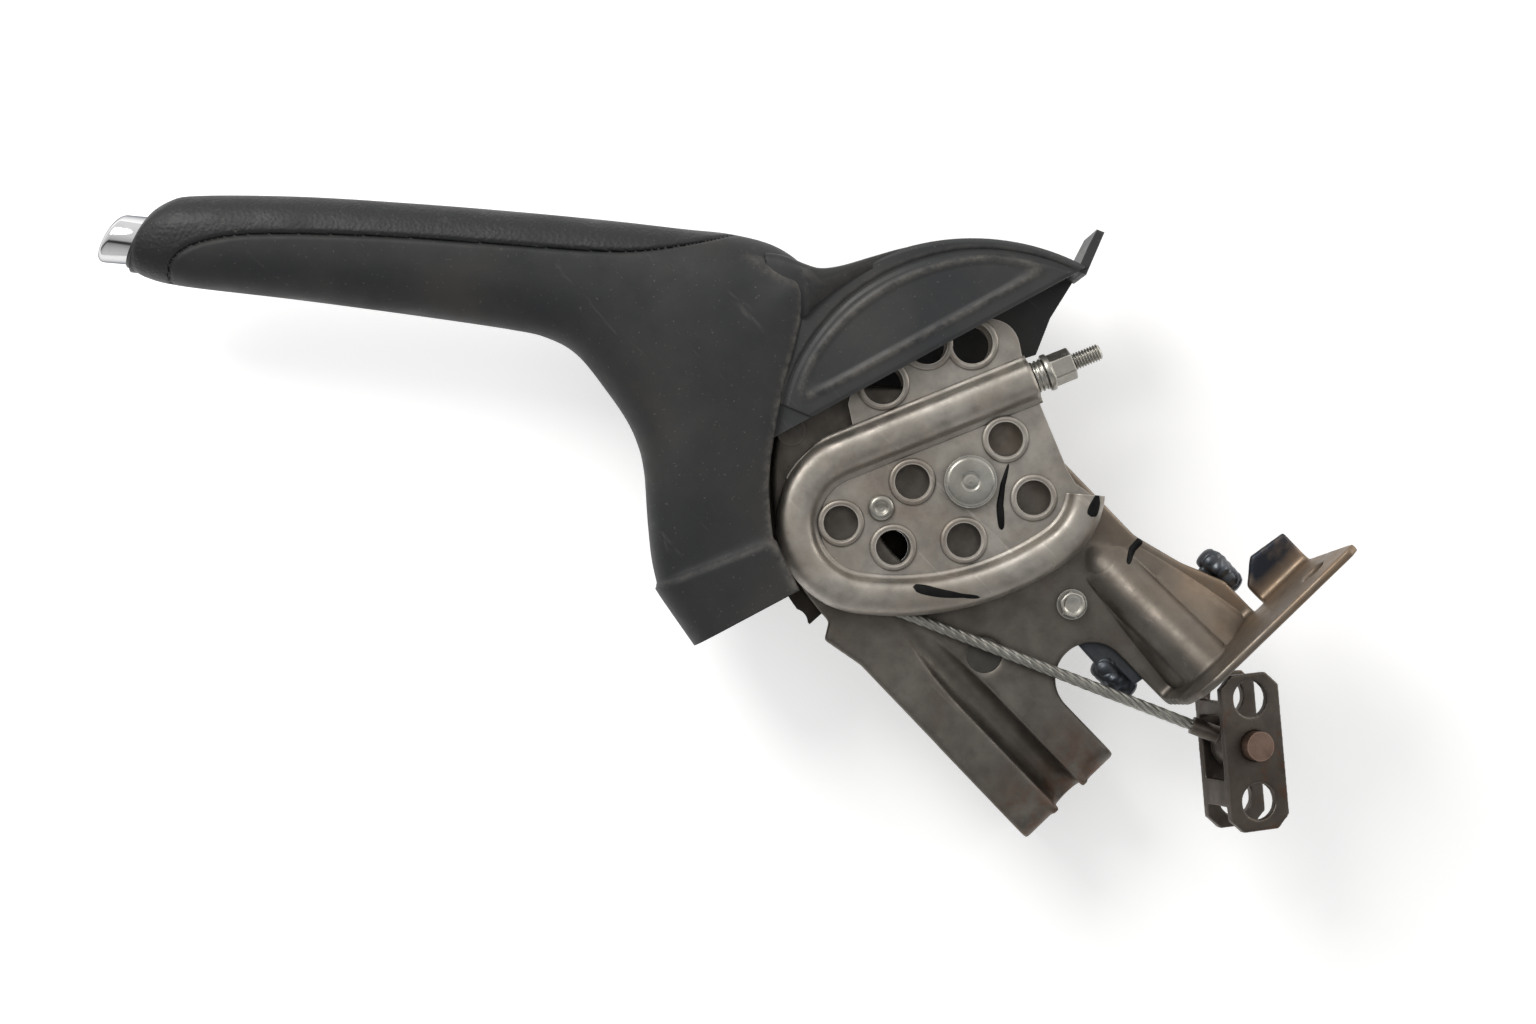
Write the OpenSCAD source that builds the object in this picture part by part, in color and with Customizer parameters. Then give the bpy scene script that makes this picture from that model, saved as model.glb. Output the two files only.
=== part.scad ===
// Hand parking brake lever: floor bracket, ratchet, cheeks, grip, release button, cable and equaliser
// Millimetres. Mounting plane at z = 0, origin at the rear foot's bolt hole, -Y toward the channel side.

/* [Floor bracket] */
// Height of the lever pivot above the mounting plane
pivot_h = 103; // [101:0.5:106]
// Distance from the rear bolt hole forward to the pivot
pivot_back = 60; // [57:0.5:62]
// Distance from the rear bolt hole sideways to the bracket sheet
pivot_side = 28; // [26:0.5:31]
// Thickness of the bracket sheet
sheet = 3; // [2.6:0.1:3.2]
// Inside radius of the foot bends
bend_r = 2.5; // [2:0.25:3]
// Depth of each foot from the sheet
foot_depth = 44; // [42:0.5:47]
// Diameter of the foot bolt holes
bolt_d = 8.5; // [6.6:0.1:9]
// Width of the arch between the legs
arch_w = 25; // [22:0.5:27]
// Outside radius of the stiffening darts
dart_r = 8.5; // [7.5:0.25:9]

/* [Ratchet] */
// Radius of the tooth tips
tooth_r = 76.5; // [76:0.25:77]
// Depth of a tooth
tooth_depth = 3; // [2.5:0.25:3.5]
// Angle between teeth
tooth_pitch = 2.5; // [2.5:0.1:2.7]
// Thickness of the sector and the pawl
sector_t = 3.5; // [3:0.1:3.8]

/* [Lever cheeks] */
// Angle of the pulled-up lever to the mounting plane
rise = 44; // [43:0.25:45]
// Thickness of each cheek
cheek_t = 2; // [1.6:0.1:2.2]
// Space between the cheeks
cheek_gap = 13; // [12.6:0.1:13.4]
// Outside radius of the raised cable channel
bead_r = 6.3; // [5.8:0.1:6.6]
// Height of the raised cable channel
bead_h = 5; // [4.5:0.1:5.5]
// Wall of the raised cable channel
bead_wall = 1.8; // [1.4:0.1:2]
// Diameter of the pivot pin
pivot_d = 12; // [11:0.5:13]
// Diameter of the stop pin
stop_d = 6; // [5:0.25:7]
// Radius of the lightening holes
hole_r = 6; // [5:0.25:6.25]

/* [Grip] */
// Wall of the hollow skirt
skirt_wall = 3; // [2.5:0.1:3.2]
// Thickness of the grained insert
insert_t = 2.5; // [2:0.1:3]
// Outside radius of the dust cover about the pivot
hood_r = 82; // [81:0.25:83]
// Half width of the dust cover
hood_half = 17; // [16:0.25:17.2]
// Wall of the dust cover
hood_wall = 2.5; // [2:0.1:3]
// Height of the flattened tube
tube_h = 22; // [20:0.5:23]
// Wall of the flattened tube
tube_wall = 1.8; // [1.5:0.1:2]
// Diameter of the release button
button_d = 17; // [16:0.25:17.5]
// Travel of the release button
button_travel = 5; // [4:0.5:5]
// Diameter of the release rod
rod_d = 5; // [4.5:0.25:5.5]

/* [Cable] */
// Diameter of the cable
cable_d = 4; // [3.5:0.1:4]
// Thread diameter of the adjuster
adjuster_d = 6; // [5:0.25:6]
// Length of the equaliser
equaliser_len = 53.5; // [52:0.5:54]
// Width of the equaliser's ears
equaliser_w = 22; // [20:0.5:23]
// Depth over the equaliser's ears
equaliser_depth = 20; // [19:0.25:21]
// Diameter of the equaliser's pin
equaliser_pin_d = 10; // [9:0.25:10.5]
// Diameter of the equaliser's cable holes
cable_hole_d = 12.5; // [11:0.25:13]

/* [Hidden] */

// Clearances: running shaft, parts that pass each other, and a wide gap round moving parts
run = 0.05;
pass = 0.4;
wide = 0.8;
big = 400;

// Bracket, seen along +Y with the pivot at zero
floor_z = -pivot_h;
leg_z = floor_z + sheet + bend_r;
face = sheet / 2;
front_leg = [-71, -29];
rear_leg = [front_leg[1] + arch_w, 40];
lip_x = [44, 66];
arch_top = -66;
front_dart_x = -50;
rear_dart_x = 14;
front_dart_h = 79;
rear_dart_h = 53;
front_hole = [-51, 25];
rear_hole = [pivot_back, -pivot_side];
screw_at = [-3.7, -55];
recess_at = [-37.5, -46.7];
recess_d = 12.4;
recess_deep = 1;
stop_at = [-30.3, -9];
stop_r = norm(stop_at);
stop_angle = atan2(stop_at[1], stop_at[0]) + 360 + (-rise);
swing = 42;
rivet_r = tooth_r - 13;
crest_r = tooth_r - 8.5;
rivet_angles = [120, 164];
rivet_head = 0.3;
sector_angles = [114, 178];
tooth_count = floor((169 - 116) / tooth_pitch);

// Lever, seen along +Y in the pulled-up pose with the pivot at zero
cheek_in = cheek_gap / 2;
cheek_out = cheek_in + cheek_t;
bead_1 = [-35, -14];
bead_1r = 24.5;
bead_2 = [-25.2, 55.8];
bead_2r = 95;
bead_3 = [15.5, -2.3];
bead_3r = 24;
bead_turns = [112, 262, 305, 355];
bead_lip = 6;
channel_start = bead_1 + bead_1r * [cos(bead_turns[0]), sin(bead_turns[0])];
channel_heading = bead_turns[0] - 90;
channel_len = 71;
channel_mouth = channel_start + channel_len * [cos(channel_heading), sin(channel_heading)];
lower_holes = [[-44.1, -14.1], [-26.2, -22.4], [-2.1, -20], [-19.7, 0], [12.1, 14.5], [21.7, -5.5]];
upper_holes = [[0.7, 47.2], [-29.7, 33.4], [-14.8, 47]];
cable_y = -face - 0.7 - cable_d / 2;
adjuster_y = -face - 0.7 - adjuster_d / 2;
pawl_at = [-86, 44];
pawl_pin_d = 6;

// Grip axis
axis_front = [-290, 83.5];
axis_drop = 5.26;
button_from = -9;
button_len = 33;
tube_from = button_from + button_len + button_travel + 6;
tube_to = 191;
guide_at = 140;
guide_len = 8;
spring_len = 26;
collar_at = guide_at - spring_len - 5;
rod_to = tube_to + 7;
arm_slot_from = 144;

// Cable line from the channel to the equaliser
cable_from = [-43.9, -36.8];
cable_heading = -21.17;
equaliser_drop = 26.4;
cable_len = (pivot_h - cable_from[0] * sin(rise) + cable_from[1] * cos(rise) + equaliser_drop)
    / sin(rise - cable_heading);
equaliser_lean = -5;
equaliser_turn = 17;
ear_t = 3;
eye_w = 9;
ferrule_len = 13;
ferrule_d = 6;
equaliser_high = 24.5;
cable_holes = [equaliser_high - equaliser_len + 10, equaliser_high - 8.5];
equaliser_bars = [[-20, -11], [11, 16]];

module plate(y0, t) translate([0, y0 + t, 0]) rotate([90, 0, 0]) linear_extrude(t) children();
module across(at, y0, y1, d) translate([at[0], y1, at[1]]) rotate([90, 0, 0]) cylinder(h = y1 - y0, d = d, $fn = 64);
module on_bracket() translate([-pivot_back, pivot_side, pivot_h]) children();
module on_lever() on_bracket() rotate([0, rise, 0]) children();
module on_grip() on_lever() translate([axis_front[0], 0, axis_front[1]]) rotate([0, 90 + axis_drop, 0]) children();
module on_cable(y) on_lever() translate([cable_from[0], y, cable_from[1]]) rotate([0, 90 - cable_heading, 0]) children();
module on_channel() on_lever() translate([channel_start[0], adjuster_y, channel_start[1]])
    rotate([0, 90 - channel_heading, 0]) children();
module on_equaliser() on_lever()
    translate([cable_from[0] + cable_len * cos(cable_heading), cable_y, cable_from[1] + cable_len * sin(cable_heading)])
    rotate([0, equaliser_lean, 0]) rotate([0, 0, equaliser_turn]) children();

function arc(c, r, a0, a1, n) = [for (i = [0:n]) let (a = a0 + (a1 - a0) * i / n) c + r * [cos(a), sin(a)]];
module wedge(r, a0, a1) polygon(concat([[0, 0]], arc([0, 0], 2 * r, a0, a1, 3)));
module band(r0, r1, a0, a1) intersection() {
    difference() {
        circle(r1, $fn = 128);
        circle(r0, $fn = 128);
    }
    wedge(r1, a0, a1);
}
module obround(w, h) {
    square([w, h - w], center = true);
    for (s = [-1, 1]) translate([0, s * (h - w) / 2]) circle(d = w, $fn = 64);
}
module skin(rings) {
    n = len(rings[0]);
    m = len(rings);
    polyhedron(
        [for (r = rings) each r],
        concat(
            [[for (k = [0:n - 1]) k]],
            [for (i = [0:m - 2], k = [0:n - 1], h = [0, 1]) let (a = i * n + k, b = i * n + (k + 1) % n)
                h == 0 ? [a, a + n, b] : [b, a + n, b + n]],
            [[for (k = [n - 1:-1:0]) (m - 1) * n + k]]));
}
module hex(across_flats, h) cylinder(h = h, d = across_flats / cos(30), $fn = 6);

// Floor bracket
module leg_outline() difference() {
    polygon(concat(
        [[front_leg[0], leg_z], [-70.6, -19.5], [-73.6, -4.7]],
        arc([0, 0], crest_r, 181, 112, 12),
        [[-12, 58], [24, 22], [28.5, 8], [28.5, -53], [33.4, -70.6], [rear_leg[1], -86], [rear_leg[1], leg_z]]));
    translate([front_leg[1], leg_z - 1]) square([arch_w, arch_top - arch_w / 2 - leg_z + 1]);
    translate([front_leg[1] + arch_w / 2, arch_top - arch_w / 2]) circle(d = arch_w, $fn = 64);
    stop_slot();
}
module stop_slot() {
    half = stop_d / 2 + wide;
    a0 = stop_angle - 2;
    a1 = stop_angle + swing + 2;
    polygon(concat(
        arc([0, 0], stop_r + half, a0, a1, 16),
        arc(stop_r * [cos(a1), sin(a1)], half, a1 + 20, a1 + 160, 7),
        arc([0, 0], stop_r - half, a1, a0, 16),
        arc(stop_r * [cos(a0), sin(a0)], half, a0 + 200, a0 + 340, 7)));
}
module lip_outline() polygon([[lip_x[0], leg_z], [lip_x[0], -93], [52, -86], [lip_x[1], -88], [lip_x[1], leg_z]]);
module foot_bend(x0, x1, side) mirror([0, side < 0 ? 1 : 0, 0])
    translate([x0, face + bend_r, leg_z]) rotate([0, 90, 0]) rotate([0, 0, -90])
    rotate_extrude(angle = 90, $fn = 64) translate([bend_r, 0]) square([sheet, x1 - x0]);
module front_foot() translate([0, 0, floor_z]) linear_extrude(sheet)
    polygon([[front_leg[0], face + bend_r], [front_leg[1], face + bend_r], [front_leg[1] - 2, foot_depth - 6],
        [front_leg[1] - 8, foot_depth], [front_leg[0] + 8, foot_depth], [front_leg[0] + 2, foot_depth - 6]]);
module rear_foot() translate([0, 0, floor_z]) linear_extrude(sheet)
    polygon([[rear_leg[0], -face - bend_r], [lip_x[1], -face - bend_r], [lip_x[1] + 7, 8 - foot_depth],
        [lip_x[1] + 8, 2 - foot_depth], [lip_x[1] + 5, -foot_depth], [rear_leg[0] + 14, -foot_depth],
        [rear_leg[0] + 8, 3 - foot_depth], [rear_leg[0] + 3, 12 - foot_depth]]);
module dart_profile(side, r) polygon(concat(
    arc([0, 0], r, side > 0 ? 0 : 180, side > 0 ? 180 : 360, 12),
    [[-side * r, -side * big / 4], [side * r, -side * big / 4]]));
module dart(x, top, start, reach, side, r) {
    drop = top - floor_z;
    run_len = norm([start + reach, drop]);
    translate([x, -side * start, top]) rotate([side * asin((start + reach) / run_len), 0, 0])
        translate([0, 0, -run_len - 10]) linear_extrude(run_len + 16) dart_profile(side, r);
}
module inside_corner(side) translate([-big / 2, side > 0 ? -face : face - big, floor_z]) cube([big, big, big]);
module bracket_holes() {
    translate([front_hole[0], front_hole[1], floor_z - 1]) cylinder(h = sheet + 2, d = bolt_d, $fn = 64);
    translate([rear_hole[0], rear_hole[1], floor_z - 1]) cylinder(h = sheet + 2, d = bolt_d, $fn = 64);
    across([0, 0], -10, 10, pivot_d);
    across(screw_at, -10, 10, 6);
    across(recess_at, -10, -face + recess_deep, recess_d);
    for (a = rivet_angles) across(rivet_r * [cos(a), sin(a)], -10, 10, 6);
}
module base_bracket() color([0.36, 0.33, 0.3]) on_bracket() difference() {
    union() {
        plate(-face, sheet) leg_outline();
        plate(-face, sheet) lip_outline();
        foot_bend(front_leg[0], front_leg[1], 1);
        foot_bend(rear_leg[0], rear_leg[1], -1);
        foot_bend(lip_x[0], lip_x[1], -1);
        front_foot();
        rear_foot();
        intersection() {
            dart(front_dart_x, floor_z + front_dart_h, 6, 8, 1, dart_r);
            inside_corner(1);
        }
        intersection() {
            dart(rear_dart_x, floor_z + rear_dart_h, 6, 16, -1, dart_r + 0.5);
            inside_corner(-1);
        }
    }
    dart(front_dart_x, floor_z + front_dart_h, 6, 8, 1, dart_r - sheet);
    dart(rear_dart_x, floor_z + rear_dart_h, 6, 16, -1, dart_r + 0.5 - sheet);
    bracket_holes();
}
module sector_outline() {
    root_r = tooth_r - tooth_depth;
    difference() {
        union() {
            band(rivet_r - 7, root_r, sector_angles[0], sector_angles[1]);
            polygon(concat(
                [for (i = [0:tooth_count - 1], k = [0, 1]) let (a = 116 + (i + k * 0.85) * tooth_pitch)
                    (k == 0 ? tooth_r : root_r - 0.5) * [cos(a), sin(a)]],
                arc([0, 0], root_r - 2, 116 + tooth_count * tooth_pitch, 116, 12)));
        }
        for (a = rivet_angles) translate(rivet_r * [cos(a), sin(a)]) circle(d = 6, $fn = 48);
        rotate(175) translate([tooth_r + 1, 0]) circle(5, $fn = 48);
    }
}
module ratchet_sector() color([0.16, 0.14, 0.12]) on_bracket() plate(face, sector_t) sector_outline();
module sector_rivets() color([0.4, 0.37, 0.34]) on_bracket() for (a = rivet_angles) {
    at = rivet_r * [cos(a), sin(a)];
    across(at, -face - rivet_head, -face, 10);
    across(at, -face, face + sector_t, 6);
}
module brace_outline() difference() {
    polygon([[-11, -49], [4, -47], [20, -60], [30, -74], [38, -78], [43, -84], [36, -92], [2, -92], [-10, -90], [-12, -76]]);
    translate(screw_at) circle(d = 6, $fn = 48);
}
module brace_lobe(x, z, y0) translate([x, y0, z]) {
    cylinder(h = 8, r = 4.5, center = true, $fn = 48);
    for (s = [-1, 1]) translate([0, 0, 4 * s]) sphere(4.5, $fn = 48);
}
module rear_brace() color([0.3, 0.32, 0.35]) on_bracket() {
    plate(face, 2.5) brace_outline();
    brace_lobe(-10.5, -84, face + 3);
    brace_lobe(41.5, -83, face + 3);
}
module brace_screw() color([0.62, 0.58, 0.52]) on_bracket() {
    across(screw_at, -face, face + 8.5, 6);
    translate([screw_at[0], -face, screw_at[1]]) rotate([90, 0, 0]) {
        cylinder(h = 1, d = 10.5, $fn = 48);
        hex(8, 3.5);
    }
}
module brace_nut() color([0.6, 0.58, 0.55]) on_bracket() difference() {
    translate([screw_at[0], face + 2.5 + 5, screw_at[1]]) rotate([90, 0, 0]) hex(10, 5);
    across(screw_at, 0, 20, 6);
}
module pivot_pin() color([0.55, 0.54, 0.5]) on_bracket() {
    across([0, 0], -cheek_out - pass, cheek_out + pass, pivot_d);
    across([0, 0], -cheek_out - pass - 2.4, -cheek_out - pass, 18);
    across([0, 0], -cheek_out - pass - 3, -cheek_out - pass - 2.4, 16.4);
    across([0, 0], cheek_out + pass, cheek_out + pass + 2.5, 17);
}
module bush(y0, y1) difference() {
    across([0, 0], y0, y1, pivot_d + 7);
    across([0, 0], y0 - 1, y1 + 1, pivot_d);
}
module near_bush() color([0.6, 0.5, 0.3]) on_bracket() bush(-cheek_in + pass, -face);
module far_bush() color([0.6, 0.5, 0.3]) on_bracket() bush(face, cheek_in - pass);

// Lever cheeks
module cheek_outline() polygon(concat(
    arc(bead_1, bead_1r + bead_lip, 152, bead_turns[1], 16),
    arc(bead_2, bead_2r + bead_lip, bead_turns[1], bead_turns[2], 10),
    arc(bead_3, bead_3r + bead_lip, bead_turns[2], bead_turns[3] - 4, 8),
    [[36, -0.5], [33.2, 4.1], channel_mouth + [1.5, -7], channel_mouth + [-3.7, 6.8]],
    arc(channel_mouth + [-14.6, 10.2], 10, 10, 75, 6),
    [[-12, 60], [-34, 54], [-56, 54.5], [-84, 77], [-140, 82.5], [-140, 59.5], [-104, 56], [-98, 34], [-76, 22]]));
module cheek_holes() {
    for (at = lower_holes) across(at, -20, 20, 2 * hole_r);
    for (at = upper_holes) across(at, -20, 20, 2 * hole_r + 2);
    across([0, 0], -20, 20, pivot_d + 2 * run);
    across(stop_at, -20, 20, stop_d);
    across(pawl_at, -20, 20, pawl_pin_d);
    for (at = tube_rivet_at) across(at, -20, 20, 5);
}
function on_axis(s, lift) = axis_front + s * [cos(axis_drop), -sin(axis_drop)] + lift * [sin(axis_drop), cos(axis_drop)];
tube_rivet_at = [on_axis(tube_to - 14, 6.2), on_axis(tube_to - 32, -6.2)];
bead_line = concat(
    [concat(channel_mouth, bead_turns[0])],
    bead_points(bead_1, bead_1r, bead_turns[0], bead_turns[1], 18),
    bead_points(bead_2, bead_2r, bead_turns[1] + 4, bead_turns[2], 7),
    bead_points(bead_3, bead_3r, bead_turns[2] + 6, bead_turns[3], 6));
function bead_points(c, r, a0, a1, n) = [for (i = [0:n]) let (a = a0 + (a1 - a0) * i / n)
    [c[0] + r * cos(a), c[1] + r * sin(a), a]];
bead_fan = [for (i = [0:9]) 20 * i];
bead_profile = concat(
    [for (a = bead_fan) [(bead_r - bead_wall) * cos(a), (bead_h - bead_wall) * sin(a)]],
    [for (i = [9:-1:0]) [bead_r * cos(bead_fan[i]), bead_h * sin(bead_fan[i])]]);
module cable_channel() color([0.56, 0.53, 0.48]) on_lever() skin([for (p = bead_line) [for (q = bead_profile)
    [p[0] + q[0] * cos(p[2]), -cheek_out - q[1], p[1] + q[0] * sin(p[2])]]]);
module channel_slot() translate([channel_start[0], -20, channel_start[1]]) rotate([0, -channel_heading, 0])
    translate([-4, 0, -adjuster_d / 2 - pass]) cube([channel_len + 24, 20, adjuster_d + 2 * pass]);
module near_cheek() color([0.5, 0.47, 0.43]) on_lever() difference() {
    union() {
        plate(-cheek_out, cheek_t) cheek_outline();
        for (at = lower_holes) across(at, -cheek_out - 0.9, -cheek_out, 2 * hole_r + 2.4);
        for (at = upper_holes) across(at, -cheek_out - 0.9, -cheek_out, 2 * hole_r + 4.4);
    }
    channel_slot();
    cheek_holes();
}
module far_cheek() color([0.44, 0.41, 0.38]) on_lever() difference() {
    plate(cheek_in, cheek_t) cheek_outline();
    cheek_holes();
}
module stop_pin() color([0.5, 0.48, 0.44]) on_lever() {
    across(stop_at, -cheek_out, cheek_out, stop_d);
    across(stop_at, -cheek_out - 1.2, -cheek_out, stop_d + 1.8);
    across(stop_at, cheek_out, cheek_out + 1.2, stop_d + 1.8);
}
module pawl_pin() color([0.5, 0.48, 0.44]) on_lever() {
    across(pawl_at, -cheek_out, cheek_out, pawl_pin_d);
    across(pawl_at, -cheek_out - 1.2, -cheek_out, pawl_pin_d + 3);
    across(pawl_at, cheek_out, cheek_out + 1.2, pawl_pin_d + 3);
}
module lever_tube() color([0.35, 0.34, 0.33]) difference() {
    on_grip() translate([0, 0, tube_from]) linear_extrude(tube_to - tube_from) difference() {
        rotate(90) obround(cheek_gap, tube_h);
        rotate(90) obround(cheek_gap - 2 * tube_wall, tube_h - 2 * tube_wall);
    }
    on_lever() for (at = tube_rivet_at) across(at, -20, 20, 5);
}
module tube_rivets() color([0.5, 0.48, 0.45]) on_lever() for (at = tube_rivet_at) {
    across(at, -cheek_out, cheek_out, 5);
    across(at, -cheek_out - 1.5, -cheek_out, 8);
    across(at, cheek_out, cheek_out + 1.5, 8);
}

// Handle shell: each station is top point, bottom point, half width, top and bottom squareness, top wall
stations = [
    [-287.5, 88, -289, 78.5, 7.2, 2.2, 2.2, -3], [-285, 92, -287.5, 73.5, 10.4, 2.2, 2.2, -3],
    [-279, 95.8, -282.5, 70.2, 12.8, 2.3, 2.3, -3], [-266, 98.4, -270, 67.4, 14, 2.4, 2.4, -3],
    [-230, 98.2, -232, 62.9, 14, 2.4, 2.4, -3], [-190, 95.8, -192, 57.6, 14, 2.4, 2.4, -3],
    [-155, 93, -158, 52.6, 14.4, 2.4, 2.4, -3], [-122, 89.8, -145, 49.6, 15.6, 2.5, 2.5, -3],
    [-98, 87, -134.5, 43.5, 17, 2.6, 2.6, -3], [-82, 85.2, -124, 30.5, 18.6, 2.8, 2.8, -3],
    [-68, 81.6, -117, 20, 19.6, 3, 3, -3], [-58.5, 75.5, -113.2, 11, 20.2, 4, 3.2, -2],
    [-54.2, 68, -111.6, 3.5, 20.4, 8, 3.4, 6], [-57.8, 50, -111, -3, 20.5, 12, 3.5, 9],
    [-62.5, 33, -110.6, -9.5, 20.5, 14, 3.5, 9], [-66, 15, -110, -17, 20.5, 14, 3.5, 9],
    [-67.6, 0, -109, -26, 20.4, 14, 3.5, 9], [-66.6, -15.5, -107.3, -34, 20.3, 14, 3.5, 9],
    [-65, -21.5, -106, -37.6, 21.3, 14, 3.5, 9], [-58, -36.5, -93.6, -55.5, 21, 14, 3.5, 9]];
ring_n = 24;
fine = 3;
function spline(a, b, c, d, t) = 0.5 * (2 * b + (c - a) * t + (2 * a - 5 * b + 4 * c - d) * t * t
    + (3 * b - a - 3 * c + d) * t * t * t);
function smooth_list(s) = [for (i = [0:len(s) - 2], k = [0:fine - 1])
    spline(s[max(i - 1, 0)], s[i], s[i + 1], s[min(i + 2, len(s) - 1)], k / fine), s[len(s) - 1]];
function unit(v) = v / norm(v);
function power(v, n) = sign(v) * pow(abs(v), 2 / n);
function shrink(s, top, side) = let (e = unit([s[2] - s[0], s[3] - s[1]]))
    [s[0] + top * e[0], s[1] + top * e[1], s[2] - side * e[0], s[3] - side * e[1], s[4] - side, s[5], s[6], s[7]];
function ring(s) = let (mid = [s[0] + s[2], s[1] + s[3]] / 2, up = [s[0] - s[2], s[1] - s[3]] / 2)
    [for (k = [0:ring_n - 1]) let (a = 360 * (k + 0.5) / ring_n, n = sin(a) > 0 ? s[5] : s[6], h = power(sin(a), n))
        [mid[0] + up[0] * h, s[4] * power(cos(a), n), mid[1] + up[1] * h]];
module loft(list) skin([for (s = list) ring(s)]);
outer_list = smooth_list(stations);
core_list = [for (i = [2:len(outer_list) - 1]) shrink(outer_list[i], insert_t, insert_t)];
hollow_from = 8 * fine;
hollow_list = concat(
    [for (i = [hollow_from:len(outer_list) - 2]) let (s = (outer_list[i] + outer_list[i + 1]) / 2)
        shrink(s, -s[7], skirt_wall)],
    [let (s = shrink(outer_list[len(outer_list) - 1], -9, skirt_wall)) [s[0] + 8, s[1] - 14, s[2] + 8, s[3] - 14, s[4], s[5], s[6], s[7]]]);
seam = [[-276, 64], [-274, 69], [-271.7, 74.8], [-264.8, 80], [-251, 83.4], [-230, 84.1], [-196, 83.1], [-161, 80.7],
    [-127, 78.3], [-110, 78.6], [-92, 81.7], [-76, 86]];
module insert_region(gap) plate(-40, 80) translate([0, gap])
    polygon(concat([[-310, 120], [-310, 64]], [for (p = seam) p], [[-76, 120]]));
module grip_core() {
    on_axis_cut(button_from - 20, tube_from + 1) circle(d = button_d + 2 * pass, $fn = 64);
    on_axis_cut(tube_from, tube_to + 20) rotate(90) obround(cheek_gap, tube_h);
    translate([axis_front[0], 0, axis_front[1]]) rotate([0, axis_drop, 0])
        translate([arm_slot_from, -cheek_out - 2.2, -16]) cube([60, 2 * cheek_out + 4.4, 31]);
}
module on_axis_cut(s0, s1) translate([axis_front[0], 0, axis_front[1]]) rotate([0, 90 + axis_drop, 0])
    translate([0, 0, s0]) linear_extrude(s1 - s0) children();
module handle_shell() color([0.2, 0.205, 0.21]) on_lever() difference() {
    loft(outer_list);
    difference() {
        insert_region(0);
        loft(core_list);
    }
    loft(hollow_list);
    grip_core();
}
module grip_insert() color([0.17, 0.18, 0.19]) on_lever() difference() {
    intersection() {
        loft(outer_list);
        insert_region(0.15);
    }
    loft(core_list);
    grip_core();
}
hood_edge = [[-61.4, 17.9], [38.6, 72.4]];
module hood_side(edge) intersection() {
    circle(hood_r, $fn = 128);
    polygon(concat(edge, [[60, 120], [-90, 120], [-90, 20]]));
}
module hood_slope(lift) {
    dir = unit(hood_edge[1] - hood_edge[0]);
    start = hood_edge[0] - 12 * dir + lift * [-dir[1], dir[0]];
    hood_side([start, start + 124 * dir]);
}
module hood_crest() difference() {
    polygon([[-53.4, 58], [-53.4, 71], [-52, 72], [-47.6, 72.2], [-40.7, 73.8], [-30, 76.6], [-20, 79.2], [-20, 60]]);
    circle(hood_r - hood_wall, $fn = 128);
}
// The beak keeps to the end of the arc, and its points are drawn for this radius of the cover
beak_drawn_r = 82;
hood_end = 62;
module hood_beak() translate((hood_r - beak_drawn_r) * [cos(hood_end), sin(hood_end)])
    polygon([[35.5, 71.2], [38.6, 69.8], [44.8, 84.2], [42.2, 85.2], [39, 79]]);
module dust_cover() color([0.21, 0.215, 0.22]) on_lever() difference() {
    union() {
        plate(-hood_half, hood_wall) hood_slope(0);
        plate(hood_half - hood_wall, hood_wall)
            hood_side([[-72, 12], [-40, 24], [25, 44.8], [30, 57.6], [39, 72]]);
        plate(-hood_half, 2 * hood_half) band(hood_r - hood_wall, hood_r, hood_end, 132);
        plate(-hood_half, 2 * hood_half) hood_crest();
        plate(-hood_half, 2 * hood_half) hood_beak();
    }
    plate(-hood_half - 1, 1.8) intersection() {
        hood_slope(4);
        circle(hood_r - 6, $fn = 128);
        translate([-55, 0]) square([82, 120]);
    }
}

// Release gear inside the grip
module release_button() color([0.8, 0.8, 0.8]) on_grip() translate([0, 0, button_from]) difference() {
    intersection() {
        cylinder(h = button_len, d = button_d, $fn = 64);
        translate([0, 0, 48]) rotate([0, -6, 0]) sphere(49, $fn = 96);
    }
    translate([0, 0, button_len - 14]) cylinder(h = 20, d = rod_d, $fn = 48);
}
module release_rod() color([0.55, 0.55, 0.55]) on_grip() translate([0, 0, button_from + button_len - 14])
    cylinder(h = rod_to - button_from - button_len + 14, d = rod_d, $fn = 48);
module spring_collar() color([0.5, 0.5, 0.5]) on_grip() translate([0, 0, collar_at]) difference() {
    cylinder(h = 5, d = 8.8, $fn = 48);
    translate([0, 0, -1]) cylinder(h = 7, d = rod_d, $fn = 48);
}
module rod_guide() color([0.85, 0.84, 0.8]) on_grip() translate([0, 0, guide_at]) linear_extrude(guide_len) difference() {
    rotate(90) obround(cheek_gap - 2 * tube_wall, tube_h - 2 * tube_wall);
    circle(rod_d / 2 + run, $fn = 48);
}
coil_turns = 8;
coil_steps = 10;
wire_d = 0.9;
coil_r = rod_d / 2 + wire_d / 2 + 0.5;
coil_rise = (spring_len - wire_d - 2 * pass) / coil_turns;
function coil_ring(i) = let (a = 360 * i / coil_steps, z = pass + wire_d / 2 + coil_rise * i / coil_steps)
    [for (k = [0:5]) let (b = 60 * k, r = coil_r + wire_d / 2 * cos(b)) [r * cos(a), r * sin(a), z + wire_d / 2 * sin(b)]];
module release_spring() color([0.6, 0.6, 0.6]) on_grip() translate([0, 0, collar_at + 5])
    skin([for (i = [0:coil_turns * coil_steps]) coil_ring(i)]);
pawl_tip = tooth_r + pass;
pawl_face = on_axis(rod_to + pass, 0);
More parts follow.
